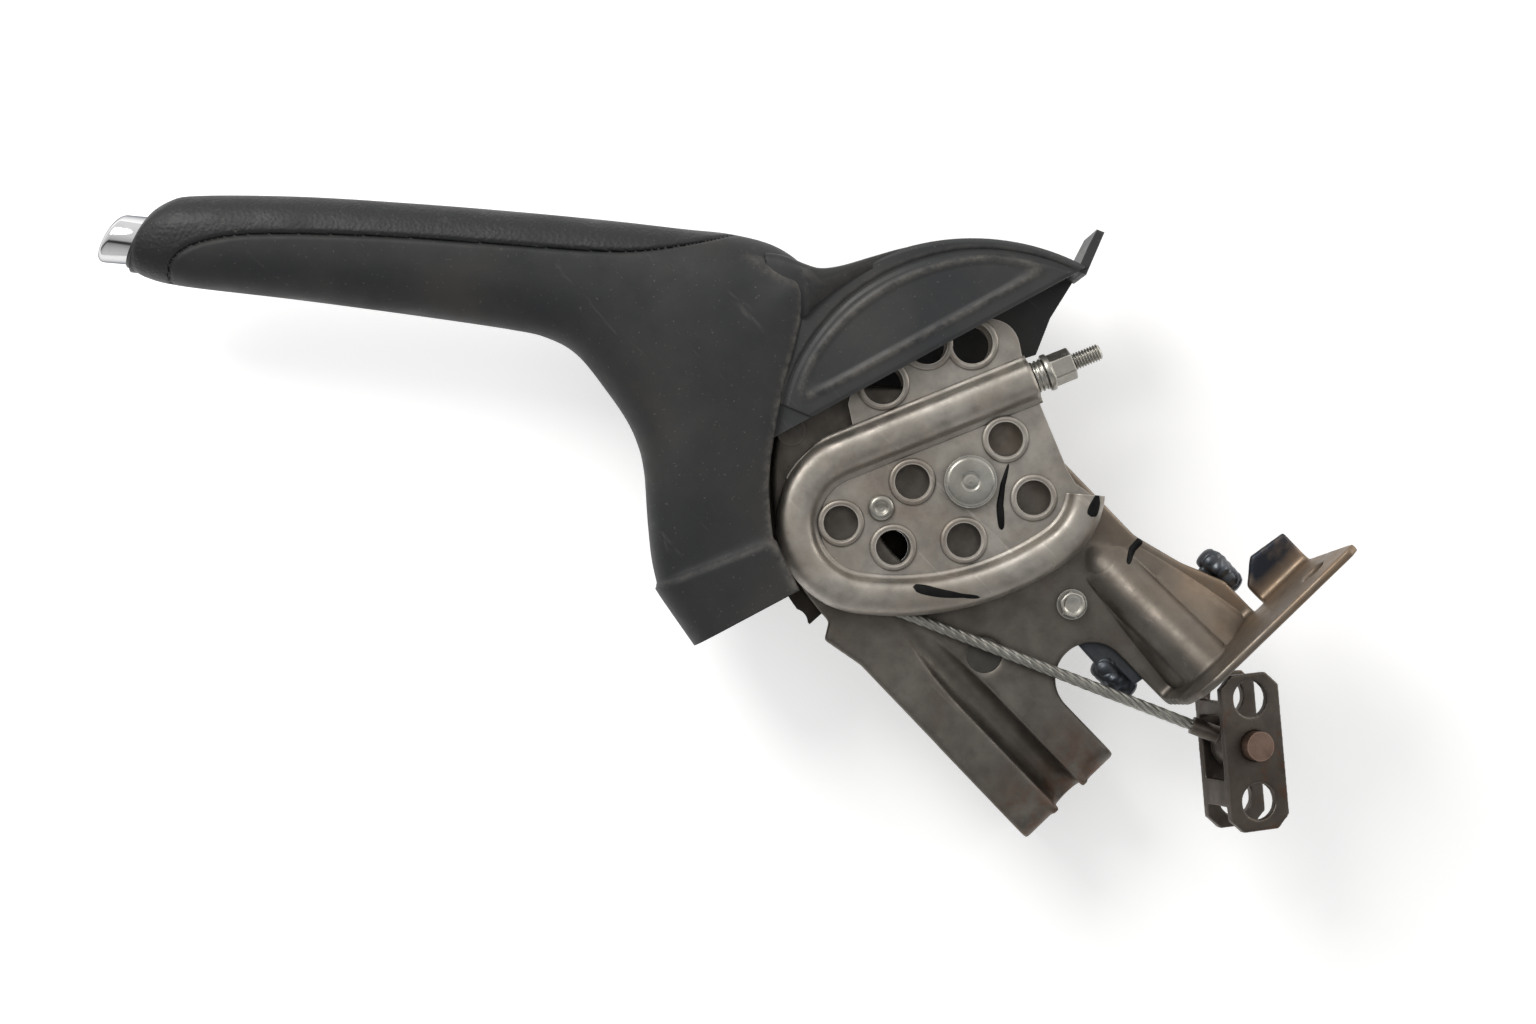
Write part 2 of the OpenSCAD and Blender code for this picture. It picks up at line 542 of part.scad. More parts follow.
module pawl() color([0.3, 0.28, 0.26]) on_lever() plate(face + 0.1, sector_t - 0.2) difference() {
    polygon(concat(
        [pawl_face + [0.3, -8], pawl_face + [0.3, 6], pawl_face + [6, 6]],
        arc(pawl_at, 8, 40, -30, 8),
        [pawl_tip * [cos(164.5), sin(164.5)], pawl_tip * [cos(166), sin(166)], [-85, 24]],
        arc(pawl_at, 8, 230, 150, 8)));
    translate(pawl_at) circle(pawl_pin_d / 2 + run, $fn = 48);
}

// Cable and equaliser
module adjuster_rod() color([0.68, 0.67, 0.65]) on_channel() translate([0, 0, 0.2])
    cylinder(h = channel_len + 25, d = adjuster_d, $fn = 48);
module sleeve(d, h, bore) difference() {
    cylinder(h = h, d = d, $fn = 64);
    translate([0, 0, -1]) cylinder(h = h + 2, d = bore, $fn = 48);
}
module adjuster_collar() color([0.6, 0.58, 0.55]) on_channel() translate([0, 0, channel_len + 0.3])
    for (i = [0:2]) translate([0, 0, 1.5 * i]) {
        sleeve(10, 1.5, adjuster_d);
        translate([0, 0, 0.4]) sleeve(11, 0.7, 9);
    }
module adjuster_nut() color([0.66, 0.65, 0.62]) on_channel() translate([0, 0, channel_len + 4.8]) {
    sleeve(13, 2, adjuster_d);
    translate([0, 0, 2]) difference() {
        hex(10, 8);
        translate([0, 0, -1]) cylinder(h = 10, d = adjuster_d, $fn = 48);
    }
}
module cable_wrap() color([0.5, 0.5, 0.48]) on_lever() translate([bead_1[0], cable_y, bead_1[1]])
    rotate([90, 0, 0]) rotate([0, 0, bead_turns[0]]) rotate_extrude(angle = 248.5 - bead_turns[0], $fn = 128)
    translate([bead_1r, 0]) circle(d = cable_d, $fn = 48);
module cable_run() color([0.5, 0.5, 0.48]) on_cable(cable_y) translate([0, 0, 1])
    cylinder(h = cable_len - 1 - equaliser_pin_d / 2 - ferrule_len, d = cable_d, $fn = 48);
module cable_eye() color([0.4, 0.38, 0.36]) {
    on_equaliser() difference() {
        rotate([90, 0, 0]) cylinder(h = eye_w, d = equaliser_pin_d + 8, center = true, $fn = 64);
        rotate([90, 0, 0]) cylinder(h = 30, d = equaliser_pin_d + 2 * run, center = true, $fn = 64);
    }
    difference() {
        on_cable(cable_y) translate([0, 0, cable_len - equaliser_pin_d / 2 - ferrule_len])
            cylinder(h = ferrule_len, d = ferrule_d, $fn = 48);
        on_equaliser() rotate([90, 0, 0]) cylinder(h = 30, d = equaliser_pin_d + 4, center = true, $fn = 64);
    }
}
module ear_outline() difference() {
    c = 4.5;
    w = equaliser_w / 2;
    low = equaliser_high - equaliser_len;
    high = equaliser_high;
    polygon([[-w, low + c], [-w + c, low], [w - c, low], [w, low + c], [w, high - c], [w - c, high], [-w + c, high], [-w, high - c]]);
    for (z = cable_holes) translate([0, z]) circle(d = cable_hole_d, $fn = 64);
    circle(d = equaliser_pin_d, $fn = 64);
}
module equaliser() color([0.36, 0.32, 0.29]) on_equaliser() {
    half = equaliser_depth / 2;
    plate(-half, ear_t) ear_outline();
    plate(half - ear_t, ear_t) ear_outline();
    for (bar = equaliser_bars) translate([-equaliser_w / 2, -half + ear_t, bar[0]])
        cube([ear_t, 2 * half - 2 * ear_t, bar[1] - bar[0]]);
}
module equaliser_pin() color([0.5, 0.38, 0.3]) on_equaliser()
    across([0, 0], -equaliser_depth / 2 - 4.5, equaliser_depth / 2 + 4.5, equaliser_pin_d);
module pin_clip() color([0.45, 0.43, 0.4]) on_equaliser() difference() {
    across([0, 0], equaliser_depth / 2 + 0.3, equaliser_depth / 2 + 1.8, equaliser_pin_d + 5);
    across([0, 0], 0, 30, equaliser_pin_d);
    translate([-2, 0, -20]) cube([4, 30, 20]);
}

base_bracket();
ratchet_sector();
sector_rivets();
rear_brace();
brace_screw();
brace_nut();
pivot_pin();
near_bush();
far_bush();
near_cheek();
cable_channel();
far_cheek();
lever_tube();
tube_rivets();
stop_pin();
pawl_pin();
handle_shell();
grip_insert();
dust_cover();
rod_guide();
adjuster_rod();
adjuster_collar();
adjuster_nut();
cable_wrap();
release_button();
release_rod();
spring_collar();
release_spring();
pawl();
cable_run();
cable_eye();
equaliser();
equaliser_pin();
pin_clip();
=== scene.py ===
# Looks of the hand parking brake lever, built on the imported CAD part. Metres, in the CAD frame.
import math
import bmesh
import bpy
import numpy as np
from mathutils import Matrix, Vector
from mathutils.bvhtree import BVHTree
from mathutils.kdtree import KDTree


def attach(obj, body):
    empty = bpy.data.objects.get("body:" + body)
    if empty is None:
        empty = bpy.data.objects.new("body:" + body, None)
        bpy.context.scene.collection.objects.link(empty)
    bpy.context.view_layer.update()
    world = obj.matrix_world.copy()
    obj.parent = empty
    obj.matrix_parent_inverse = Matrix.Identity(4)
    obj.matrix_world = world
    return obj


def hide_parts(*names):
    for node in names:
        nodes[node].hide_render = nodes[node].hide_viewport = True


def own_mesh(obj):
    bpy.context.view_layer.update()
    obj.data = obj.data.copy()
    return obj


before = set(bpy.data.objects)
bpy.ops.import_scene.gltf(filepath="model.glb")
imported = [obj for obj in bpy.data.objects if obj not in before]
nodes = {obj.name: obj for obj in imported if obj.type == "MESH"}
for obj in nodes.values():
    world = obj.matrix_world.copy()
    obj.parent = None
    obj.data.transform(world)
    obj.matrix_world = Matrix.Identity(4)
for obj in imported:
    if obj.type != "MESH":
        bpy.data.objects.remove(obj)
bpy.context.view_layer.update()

# Shared frame: u along the photo's right, w up, y across, in millimetres about the lever's pivot
RISE = math.radians(44)
PIVOT = np.array([-60.0, 28.0, 103.0])
MM = 0.001
SHEET_FACE = 1.5
CHEEK_IN = 6.5
CHEEK_OUT = 8.5
BEVEL_SEGMENTS, BEVEL_ANGLE = 2, math.radians(35)


def to_row(points):
    p = np.asarray(points, dtype=float)
    u, y, w = p[..., 0], p[..., 1], p[..., 2]
    x = PIVOT[0] + u * math.cos(RISE) + w * math.sin(RISE)
    z = PIVOT[2] - u * math.sin(RISE) + w * math.cos(RISE)
    return np.stack([x, PIVOT[1] + y, z], axis=-1) * MM


def add_object(name, data):
    obj = bpy.data.objects.new(name, data)
    bpy.context.scene.collection.objects.link(obj)
    return obj


def make_piece(name, points, faces, body, stands_for=(), smooth=True):
    mesh = bpy.data.meshes.new(name)
    mesh.from_pydata([tuple(p) for p in to_row(points)], [], [tuple(int(i) for i in f) for f in faces])
    mesh.validate()
    mesh.polygons.foreach_set("use_smooth", [smooth] * len(mesh.polygons))
    obj = add_object(name, mesh)
    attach(obj, body)
    if stands_for:
        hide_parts(*stands_for)
    return obj


def grid_faces(rows, cols, closed, start=0):
    out = []
    for i in range(rows - 1):
        for k in range(cols if closed else cols - 1):
            a, b = start + i * cols + k, start + i * cols + (k + 1) % cols
            out.append((a, b, b + cols, a + cols))
    return out


def tube_faces(rows, cols, start=0, first_cap=True):
    last = start + (rows - 1) * cols
    caps = [tuple(range(start, start + cols))] if first_cap else []
    return grid_faces(rows, cols, True, start) + caps + [tuple(reversed(range(last, last + cols)))]


def open_sheet(name, rows, body, stands_for=()):
    rows = np.array(rows)
    return make_piece(name, rows.reshape(-1, 3), grid_faces(*rows.shape[:2], False), body, stands_for)


def closed_tube(name, rows, body, stands_for=(), smooth=True, first_cap=True):
    rows = np.array(rows)
    faces = tube_faces(*rows.shape[:2], first_cap=first_cap)
    return make_piece(name, rows.reshape(-1, 3), faces, body, stands_for, smooth)


def circle(sides):
    return np.linspace(0, 2 * math.pi, sides, endpoint=False)


# A straight line in the lever's plane, with rings of points about it
class Line:
    def __init__(self, base, turn, y=0.0):
        self.base = np.array(base)
        self.y = y
        self.along = np.array([math.cos(turn), math.sin(turn)])
        self.up = np.array([-math.sin(turn), math.cos(turn)])

    def at(self, t):
        return self.base + t * self.along

    def ring(self, t, radius, angles):
        lift = radius * np.sin(angles)
        u = self.base[0] + t * self.along[0] + lift * self.up[0]
        w = self.base[1] + t * self.along[1] + lift * self.up[1]
        return np.stack([u, self.y + radius * np.cos(angles), w], axis=-1)


def fine_or_quick(fine):
    return fine


def add_weights(obj, name, values):
    layer = obj.data.attributes.new(name, "FLOAT", "POINT")
    layer.data.foreach_set("value", np.asarray(values, dtype=np.float32))


def add_solidify(obj, thickness, offset=-1.0):
    mod = obj.modifiers.new("wall", "SOLIDIFY")
    mod.thickness = thickness * MM
    mod.offset = offset
    mod.use_even_offset = False


def add_weld(obj):
    obj.modifiers.new("weld", "WELD").merge_threshold = 1e-6


def add_bevel(obj, width):
    add_weld(obj)
    mod = obj.modifiers.new("bevel", "BEVEL")
    mod.width = width * MM
    mod.segments = BEVEL_SEGMENTS
    mod.limit_method = "ANGLE"
    mod.angle_limit = BEVEL_ANGLE
    mod.harden_normals = False


def add_smooth(obj, rounds):
    mod = obj.modifiers.new("smooth", "SMOOTH")
    mod.factor = 0.5
    mod.iterations = rounds


def add_soft_press(obj, voxel, rounds):
    mesh = obj.modifiers.new("remesh", "REMESH")
    mesh.mode = "VOXEL"
    mesh.voxel_size = voxel * MM
    mesh.use_smooth_shade = True
    add_smooth(obj, rounds)


def soft_step(value, start, width):
    t = np.clip((value - start) / width, 0, 1)
    return t * t * (3 - 2 * t)


# Node trees of the materials and of the world
class Nodes:
    def __init__(self, owner, coordinate):
        owner.use_nodes = True
        self.tree = owner.node_tree
        self.tree.nodes.clear()
        self.coord = self.new("TexCoord").outputs[coordinate]

    def new(self, kind, **inputs):
        n = self.tree.nodes.new("ShaderNode" + kind)
        for name, value in inputs.items():
            self.put(n.inputs[name.replace("_", " ")], value)
        return n

    def link(self, a, b):
        self.tree.links.new(a, b)

    def put(self, socket, value):
        if isinstance(value, bpy.types.NodeSocket):
            self.link(value, socket)
        else:
            socket.default_value = value

    def stretch(self, scale, turn):
        return self.new("Mapping", Vector=self.coord, Scale=scale, Rotation=turn).outputs[0]

    def noise(self, scale, detail, rough, vector=None, distortion=0.0):
        n = self.new("TexNoise", Vector=vector or self.coord, Scale=scale, Detail=detail, Roughness=rough,
                     Distortion=distortion)
        return n.outputs[0]

    def pebbles(self, scale):
        n = self.new("TexVoronoi", Vector=self.coord, Scale=scale)
        n.feature = "SMOOTH_F1"
        return n.outputs["Distance"]

    def span(self, value, low, high, to_low=0.0, to_high=1.0):
        n = self.new("MapRange", Value=value, From_Min=low, From_Max=high, To_Min=to_low, To_Max=to_high)
        return n.outputs[0]

    def times(self, a, b):
        return self.math("MULTIPLY", a, b)

    def math(self, kind, a, b):
        n = self.new("Math")
        n.operation = kind
        n.use_clamp = kind in ("ADD", "SUBTRACT")
        self.put(n.inputs[0], a)
        self.put(n.inputs[1], b)
        return n.outputs[0]

    def mix(self, factor, a, b):
        n = self.new("MixRGB")
        self.put(n.inputs[0], factor)
        for socket, value in ((n.inputs[1], a), (n.inputs[2], b)):
            self.put(socket, value if isinstance(value, bpy.types.NodeSocket) else (*value, 1.0))
        return n.outputs[0]

    def blend(self, factor, first, second):
        n = self.new("MixShader", Fac=factor)
        self.link(first.outputs[0], n.inputs[1])
        self.link(second.outputs[0], n.inputs[2])
        return n.outputs[0]

    def axis(self, index):
        n = self.new("SeparateXYZ")
        self.link(self.coord, n.inputs[0])
        return n.outputs[index]

    def dot(self, a, b):
        n = self.new("VectorMath")
        n.operation = "DOT_PRODUCT"
        self.put(n.inputs[0], a)
        self.put(n.inputs[1], b)
        return n.outputs["Value"]

    def toward(self, direction):
        return self.dot(self.coord, direction)

    def direct_rays(self):
        rays = self.new("LightPath").outputs
        seen = self.math("ADD", rays["Is Camera Ray"], rays["Is Glossy Ray"])
        return self.math("ADD", seen, rays["Is Transmission Ray"])

    def weight(self, name):
        n = self.new("Attribute")
        n.attribute_name = name
        return n.outputs["Fac"]

    # Ambient occlusion mask, 1 deep in crevices, used for painted shade
    def crevice(self, reach):
        n = self.new("AmbientOcclusion", Distance=reach * MM)
        n.samples = 6
        return self.span(n.outputs["AO"], 0.86, 0.4)

    def edges(self, radius):
        bevel = self.new("Bevel", Radius=radius * MM)
        bevel.samples = 4
        return self.span(self.dot(bevel.outputs[0], self.new("NewGeometry").outputs["Normal"]), 0.985, 0.86)


class Shader(Nodes):
    def __init__(self, name):
        self.mat = bpy.data.materials.new(name)
        super().__init__(self.mat, "Object")
        self.out = self.new("OutputMaterial")
        self.body = self.new("BsdfPrincipled")
        self.link(self.body.outputs[0], self.out.inputs[0])

    def bump(self, *layers):
        last = None
        for height, depth in layers:
            n = self.new("Bump", Distance=depth * MM, Strength=1.0, Height=height)
            if last:
                self.link(last, n.inputs["Normal"])
            last = n.outputs[0]
        self.link(last, self.body.inputs["Normal"])

    def finish(self, colour, rough, metallic=0.0, specular=0.5):
        self.put(self.body.inputs["Base Color"], colour)
        self.put(self.body.inputs["Roughness"], rough)
        self.body.inputs["Metallic"].default_value = metallic
        self.body.inputs["Specular IOR Level"].default_value = specular
        return self.mat


RUST, SOOT = (0.14, 0.052, 0.02), (0.018, 0.015, 0.013)
STRAW, BLUED = (0.27, 0.19, 0.125), (0.028, 0.032, 0.042)
SPECK, SCUFF = (0.16, 0.145, 0.125), (0.13, 0.125, 0.115)
PALE, WORN_EDGE = (0.17, 0.155, 0.135), (0.16, 0.15, 0.14)


def toned(base, factor, lift=0.0):
    return tuple(min(1.0, factor * c + lift) for c in base)


def worn_steel(name, base, stain, rough, metallic=0.85, rust=0.25, wear=0.5, low_rust=0.0, tint=None,
               shade_and_grime=0.7, heat=False, reach=4.0):
    s = Shader(name)
    cloud = s.span(s.noise(38, 6, 0.6, distortion=0.4), 0.36, 0.66)
    colour = s.mix(cloud, base, stain)
    drift = s.span(s.noise(110, 5, 0.65), 0.42, 0.72)
    colour = s.mix(s.times(drift, 0.7), colour, toned(base, 0.55))
    scratch = s.span(s.noise(230, 3, 0.6, s.stretch((1.0, 1.0, 0.06), (0, 0.9, 0))), 0.655, 0.73)
    colour = s.mix(s.times(scratch, 0.35), colour, toned(base, 1.6, 0.03))
    if tint:
        colour = s.mix(s.times(s.span(s.noise(55, 3, 0.5), 0.5, 0.68), 0.6), colour, tint)
    specks = s.span(s.noise(620, 3, 0.6), 0.665, 0.73)
    patches = s.span(s.noise(85, 5, 0.7), 0.56, 0.74)
    spots = s.times(s.math("ADD", s.times(specks, 0.8), patches), rust)
    if low_rust:
        low = s.times(s.span(s.axis(2), 0.026, 0.0), s.span(s.axis(0), -0.075, -0.095))
        rough_edge = s.span(s.noise(130, 5, 0.7), 0.4, 0.62)
        spots = s.math("ADD", spots, s.times(s.times(low, rough_edge), low_rust))
    colour = s.mix(spots, colour, RUST)
    if heat:
        patchy = s.span(s.noise(48, 4, 0.6), 0.34, 0.6, 0.25, 0.75)
        straw = s.times(s.span(s.axis(0), -0.05, -0.02), patchy)
        colour = s.mix(straw, colour, STRAW)
        spread = s.times(s.span(s.axis(0), -0.019, -0.012), s.span(s.axis(2), 0.005, 0.01))
        blued = s.times(spread, s.span(s.noise(75, 4, 0.6), 0.3, 0.55, 0.35, 1.0))
        colour = s.mix(blued, colour, BLUED)
    # Painted shade: ambient occlusion darkens the steel in crevices, hollows and gaps between parts, made
    # patchy by noise as dirt
    shade_and_dirt = s.times(s.crevice(reach), s.span(s.noise(150, 4, 0.6), 0.2, 0.6, 0.45, 0.95))
    colour = s.mix(s.times(shade_and_dirt, shade_and_grime), colour, toned(base, 0.16))
    edge = s.times(s.edges(0.7), wear)
    colour = s.mix(edge, colour, toned(base, 1.9, 0.05))
    brush = s.noise(420, 4, 0.7, s.stretch((1.0, 1.0, 7.0), (0, RISE, 0)))
    roughness = s.span(s.noise(160, 5, 0.6), 0.3, 0.7, rough - 0.1, rough + 0.14)
    s.bump((s.noise(1500, 3, 0.6), 0.02), (brush, 0.018), (s.noise(90, 3, 0.5), 0.12))
    return s.finish(colour, roughness, metallic)


def worn_plastic(name, base, dust, rough, grain=0.0, dusting=0.35):
    s = Shader(name)
    cloud = s.span(s.noise(26, 5, 0.6), 0.38, 0.68)
    colour = s.mix(s.times(cloud, dusting), base, dust)
    specks = s.span(s.noise(900, 2, 0.5), 0.69, 0.74)
    colour = s.mix(s.times(specks, 0.3), colour, SPECK)
    scuff = s.span(s.noise(210, 3, 0.6, s.stretch((1.0, 1.0, 0.12), (0, 0.5, 0))), 0.665, 0.74)
    colour = s.mix(s.times(scuff, 0.22), colour, SCUFF)
    pale = s.times(s.weight("wear"), s.span(s.noise(240, 5, 0.7), 0.36, 0.62))
    colour = s.mix(s.times(pale, 0.6), colour, PALE)
    colour = s.mix(s.times(s.edges(0.8), 0.22), colour, WORN_EDGE)
    roughness = s.span(s.noise(70, 5, 0.6), 0.3, 0.7, rough - 0.07, rough + 0.12)
    if grain:
        pebble = s.span(s.pebbles(820), 0.1, 0.62, 1.0, 0.0)
        s.bump((pebble, grain), (s.noise(2400, 2, 0.5), 0.02))
    else:
        s.bump((s.noise(2600, 2, 0.5), 0.018), (s.noise(60, 3, 0.5), 0.1))
    return s.finish(colour, roughness, 0.0, 0.36)


CHEEK = (0.41, 0.382, 0.342)
BRACKET = (0.185, 0.17, 0.149)
mat_cheek = worn_steel("cheek_steel", CHEEK, (0.31, 0.275, 0.235), 0.46, rust=0.22, wear=0.5)
mat_lip = worn_steel("hole_lip_steel", (0.4, 0.37, 0.33), (0.3, 0.265, 0.225), 0.46, rust=0.3, wear=0.15)
mat_bracket = worn_steel("bracket_steel", BRACKET, (0.128, 0.113, 0.096), 0.44, rust=0.16, wear=0.5,
                         low_rust=0.55, heat=True)
mat_recess = worn_steel("recess_steel", (0.1, 0.096, 0.088), (0.07, 0.064, 0.056), 0.46, rust=0.1, wear=0.3)
mat_sector = worn_steel("sector_steel", (0.05, 0.042, 0.034), SOOT, 0.4, rust=0.15, wear=0.5)
mat_brace = worn_steel("brace_steel", (0.12, 0.125, 0.13), (0.03, 0.036, 0.046), 0.36, rust=0.1, wear=0.5,
                       tint=(0.045, 0.06, 0.09))
mat_zinc = worn_steel("zinc", (0.5, 0.485, 0.44), (0.38, 0.365, 0.32), 0.3, rust=0.06, wear=0.4)
mat_pin = worn_steel("pin_steel", (0.42, 0.41, 0.37), (0.3, 0.285, 0.25), 0.34, rust=0.1, wear=0.4)
mat_bush = worn_steel("bush_bronze", (0.45, 0.3, 0.12), (0.25, 0.16, 0.07), 0.42, rust=0.1, wear=0.3)
mat_tube = worn_steel("tube_paint", (0.03, 0.03, 0.03), SOOT, 0.5, 0.2, rust=0.12, wear=0.3)
mat_equaliser = worn_steel("equaliser_steel", (0.15, 0.13, 0.112), (0.07, 0.056, 0.046), 0.42, rust=0.75,
                           wear=0.9)
mat_copper = worn_steel("copper_pin", (0.3, 0.205, 0.16), (0.2, 0.13, 0.1), 0.42, rust=0.3, wear=0.45)
# Painted shade darkens the valleys between the cable's strands
mat_cable = worn_steel("cable_wire", (0.36, 0.355, 0.32), (0.22, 0.21, 0.185), 0.34, rust=0.08, wear=0.2,
                       shade_and_grime=1.0, reach=1.2)
mat_spring = worn_steel("spring_wire", (0.42, 0.42, 0.42), (0.3, 0.3, 0.29), 0.3, rust=0.04, wear=0.2)
mat_shell = worn_plastic("shell_plastic", (0.0155, 0.0165, 0.018), (0.046, 0.041, 0.036), 0.56, dusting=0.5)
mat_hood = worn_plastic("hood_plastic", (0.026, 0.0275, 0.0295), (0.064, 0.061, 0.057), 0.46, dusting=0.5)
mat_insert = worn_plastic("insert_grain", (0.0115, 0.0122, 0.0135), (0.021, 0.0205, 0.02), 0.5, grain=0.09,
                          dusting=0.25)
mat_guide = worn_plastic("guide_plastic", (0.62, 0.6, 0.55), (0.5, 0.47, 0.42), 0.45)


def chrome():
    s = Shader("button_chrome")
    film = s.span(s.noise(140, 4, 0.6), 0.45, 0.75)
    colour = s.mix(s.times(film, 0.3), (0.68, 0.68, 0.685), (0.46, 0.45, 0.43))
    s.body.inputs["Specular Tint"].default_value = (0.22, 0.23, 0.26, 1.0)
    s.bump((s.noise(70, 2, 0.5), 0.05))
    return s.finish(colour, s.span(s.noise(260, 4, 0.6), 0.35, 0.75, 0.05, 0.16), 1.0)


def paint():
    s = Shader("black_mark")
    colour = s.mix(s.span(s.noise(300, 4, 0.6), 0.4, 0.7), (0.003, 0.003, 0.003), (0.008, 0.008, 0.008))
    s.bump((s.noise(900, 3, 0.6), 0.03))
    return s.finish(colour, s.span(s.noise(200, 3, 0.5), 0.3, 0.7, 0.5, 0.7), 0.0, 0.15)


mat_chrome = chrome()
mat_paint = paint()

NODE_MATERIALS = [
    (mat_bracket, ["base_bracket", "sector_rivets"]), (mat_sector, ["ratchet_sector", "pawl"]),
    (mat_brace, ["rear_brace"]), (mat_tube, ["lever_tube"]), (mat_guide, ["rod_guide"]),
    (mat_zinc, ["brace_screw", "brace_nut", "adjuster_rod", "adjuster_collar", "adjuster_nut"]),
    (mat_pin, ["pivot_pin", "stop_pin", "pawl_pin", "tube_rivets", "release_rod", "spring_collar"]),
    (mat_bush, ["near_bush", "far_bush"]), (mat_cheek, ["near_cheek", "cable_channel", "far_cheek"]),
    (mat_shell, ["handle_shell"]), (mat_hood, ["dust_cover"]), (mat_insert, ["grip_insert"]),
    (mat_chrome, ["release_button"]), (mat_spring, ["release_spring"]), (mat_copper, ["equaliser_pin"]),
    (mat_cable, ["cable_run", "cable_wrap"]), (mat_equaliser, ["cable_eye", "equaliser", "pin_clip"]),
]
for material, node_names in NODE_MATERIALS:
    for node_name in node_names:
        nodes[node_name].data.materials.clear()
        nodes[node_name].data.materials.append(material)


def dress(obj, material):
    obj.data.materials.append(material)
    return obj


# Softened edges on the CAD pieces
BEVELS = [
    (0.2, ["adjuster_collar", "pin_clip", "sector_rivets", "lever_tube"]), (0.25, ["ratchet_sector", "pawl"]),
    (0.3, ["spring_collar", "rod_guide", "near_bush", "far_bush", "release_rod"]), (0.45, ["adjuster_nut"]),
    (0.4, ["far_cheek", "brace_nut", "stop_pin", "pawl_pin", "cable_eye"]), (0.6, ["brace_screw"]),
    (0.5, ["pivot_pin", "tube_rivets"]), (0.7, ["equaliser_pin", "dust_cover"]),
]
for width, node_names in BEVELS:
    for node_name in node_names:
        add_bevel(nodes[node_name], width)
add_soft_press(nodes["base_bracket"], 0.6, 18)
add_soft_press(nodes["equaliser"], 0.4, 4)
add_soft_press(nodes["rear_brace"], 0.4, 6)

# Handle shell and insert: the CAD's own stations, with finer rings, a seam groove and a thin open skirt
STATIONS = np.array([
    [-287.5, 88, -289, 78.5, 7.2, 2.2, 2.2, -3], [-285, 92, -287.5, 73.5, 10.4, 2.2, 2.2, -3],
    [-279, 95.8, -282.5, 70.2, 12.8, 2.3, 2.3, -3], [-266, 98.4, -270, 67.4, 14, 2.4, 2.4, -3],
    [-230, 98.2, -232, 62.9, 14, 2.4, 2.4, -3], [-190, 95.8, -192, 57.6, 14, 2.4, 2.4, -3],
    [-155, 93, -158, 52.6, 14.4, 2.4, 2.4, -3], [-122, 89.8, -145, 49.6, 15.6, 2.5, 2.5, -3],
    [-98, 87, -134.5, 43.5, 17, 2.6, 2.6, -3], [-82, 85.2, -124, 30.5, 18.6, 2.8, 2.8, -3],
    [-68, 81.6, -117, 20, 19.6, 3, 3, -3], [-58.5, 75.5, -113.2, 11, 20.2, 4, 3.2, -2],
    [-54.2, 68, -111.6, 3.5, 20.4, 8, 3.4, 6], [-57.8, 50, -111, -3, 20.5, 12, 3.5, 9],
    [-62.5, 33, -110.6, -9.5, 20.5, 14, 3.5, 9], [-66, 15, -110, -17, 20.5, 14, 3.5, 9],
    [-67.6, 0, -109, -26, 20.4, 14, 3.5, 9], [-66.6, -15.5, -107.3, -34, 20.3, 14, 3.5, 9],
    [-65, -21.5, -106, -37.6, 21.3, 14, 3.5, 9], [-58, -36.5, -93.6, -55.5, 21, 14, 3.5, 9]])
SEAM = np.array([[-276, 64], [-274, 69], [-271.7, 74.8], [-264.8, 80], [-251, 83.4], [-230, 84.1],
                 [-196, 83.1], [-161, 80.7], [-127, 78.3], [-110, 78.6], [-92, 81.7], [-76, 86]])
GRIP = Line((-290, 83.5), math.radians(-5.26))
BORE_R, BORE_DEEP = 8.9, 14.0
TOP_COLS, SIDE_COLS = 56, 128
TOP_ARC = (math.radians(45), math.radians(135))
SIDE_ARC = (math.radians(135), math.radians(405))
DENSE = 1441
RING_STEP, NOSE_STEP = fine_or_quick(1.1), fine_or_quick(0.4)
NOSE_STATIONS, FRONT_STATIONS = 3, 5
OFF_RING = 1.02


def spline(rows, i, t):
    a, b = rows[max(i - 1, 0)], rows[i]
    c, d = rows[i + 1], rows[min(i + 2, len(rows) - 1)]
    square, cube = 2 * a - 5 * b + 4 * c - d, 3 * b - a - 3 * c + d
    return 0.5 * (2 * b + (c - a) * t + square * t ** 2 + cube * t ** 3)


def smooth_line(points, count):
    marks = np.linspace(0, len(points) - 1, count)
    starts = np.minimum(marks.astype(int), len(points) - 2)
    return np.array([spline(points, i, t) for i, t in zip(starts, marks - starts)])


def fine_stations():
    out, place = [], []
    for i in range(1, len(STATIONS) - 1):
        gap = STATIONS[i + 1] - STATIONS[i]
        span = max(np.hypot(gap[0], gap[1]), np.hypot(gap[2], gap[3]))
        count = int(math.ceil(span / (NOSE_STEP if i < NOSE_STATIONS else RING_STEP)))
        for k in range(count):
            out.append(spline(STATIONS, i, k / count))
            place.append(i + k / count)
    out.append(STATIONS[-1])
    place.append(len(STATIONS) - 1)
    return np.array(out), np.array(place)


def ring_curve(s, angles):
    sine, cosine = np.sin(angles), np.cos(angles)
    power = np.where(sine > 0, s[5], s[6])
    h = np.sign(sine) * np.abs(sine) ** (2 / power)
    y = s[4] * np.sign(cosine) * np.abs(cosine) ** (2 / power)
    mid, up = (s[0:2] + s[2:4]) / 2, (s[0:2] - s[2:4]) / 2
    return np.stack([mid[0] + up[0] * h, y, mid[1] + up[1] * h], axis=-1), h


def spread(points, h, count):
    length = np.concatenate([[0], np.cumsum(np.linalg.norm(np.diff(points, axis=0), axis=1))])
    at = np.linspace(0, length[-1], count + 1)[:count]
    even = np.stack([np.interp(at, length, points[:, i]) for i in range(3)], axis=-1)
    return even, np.interp(at, length, h)


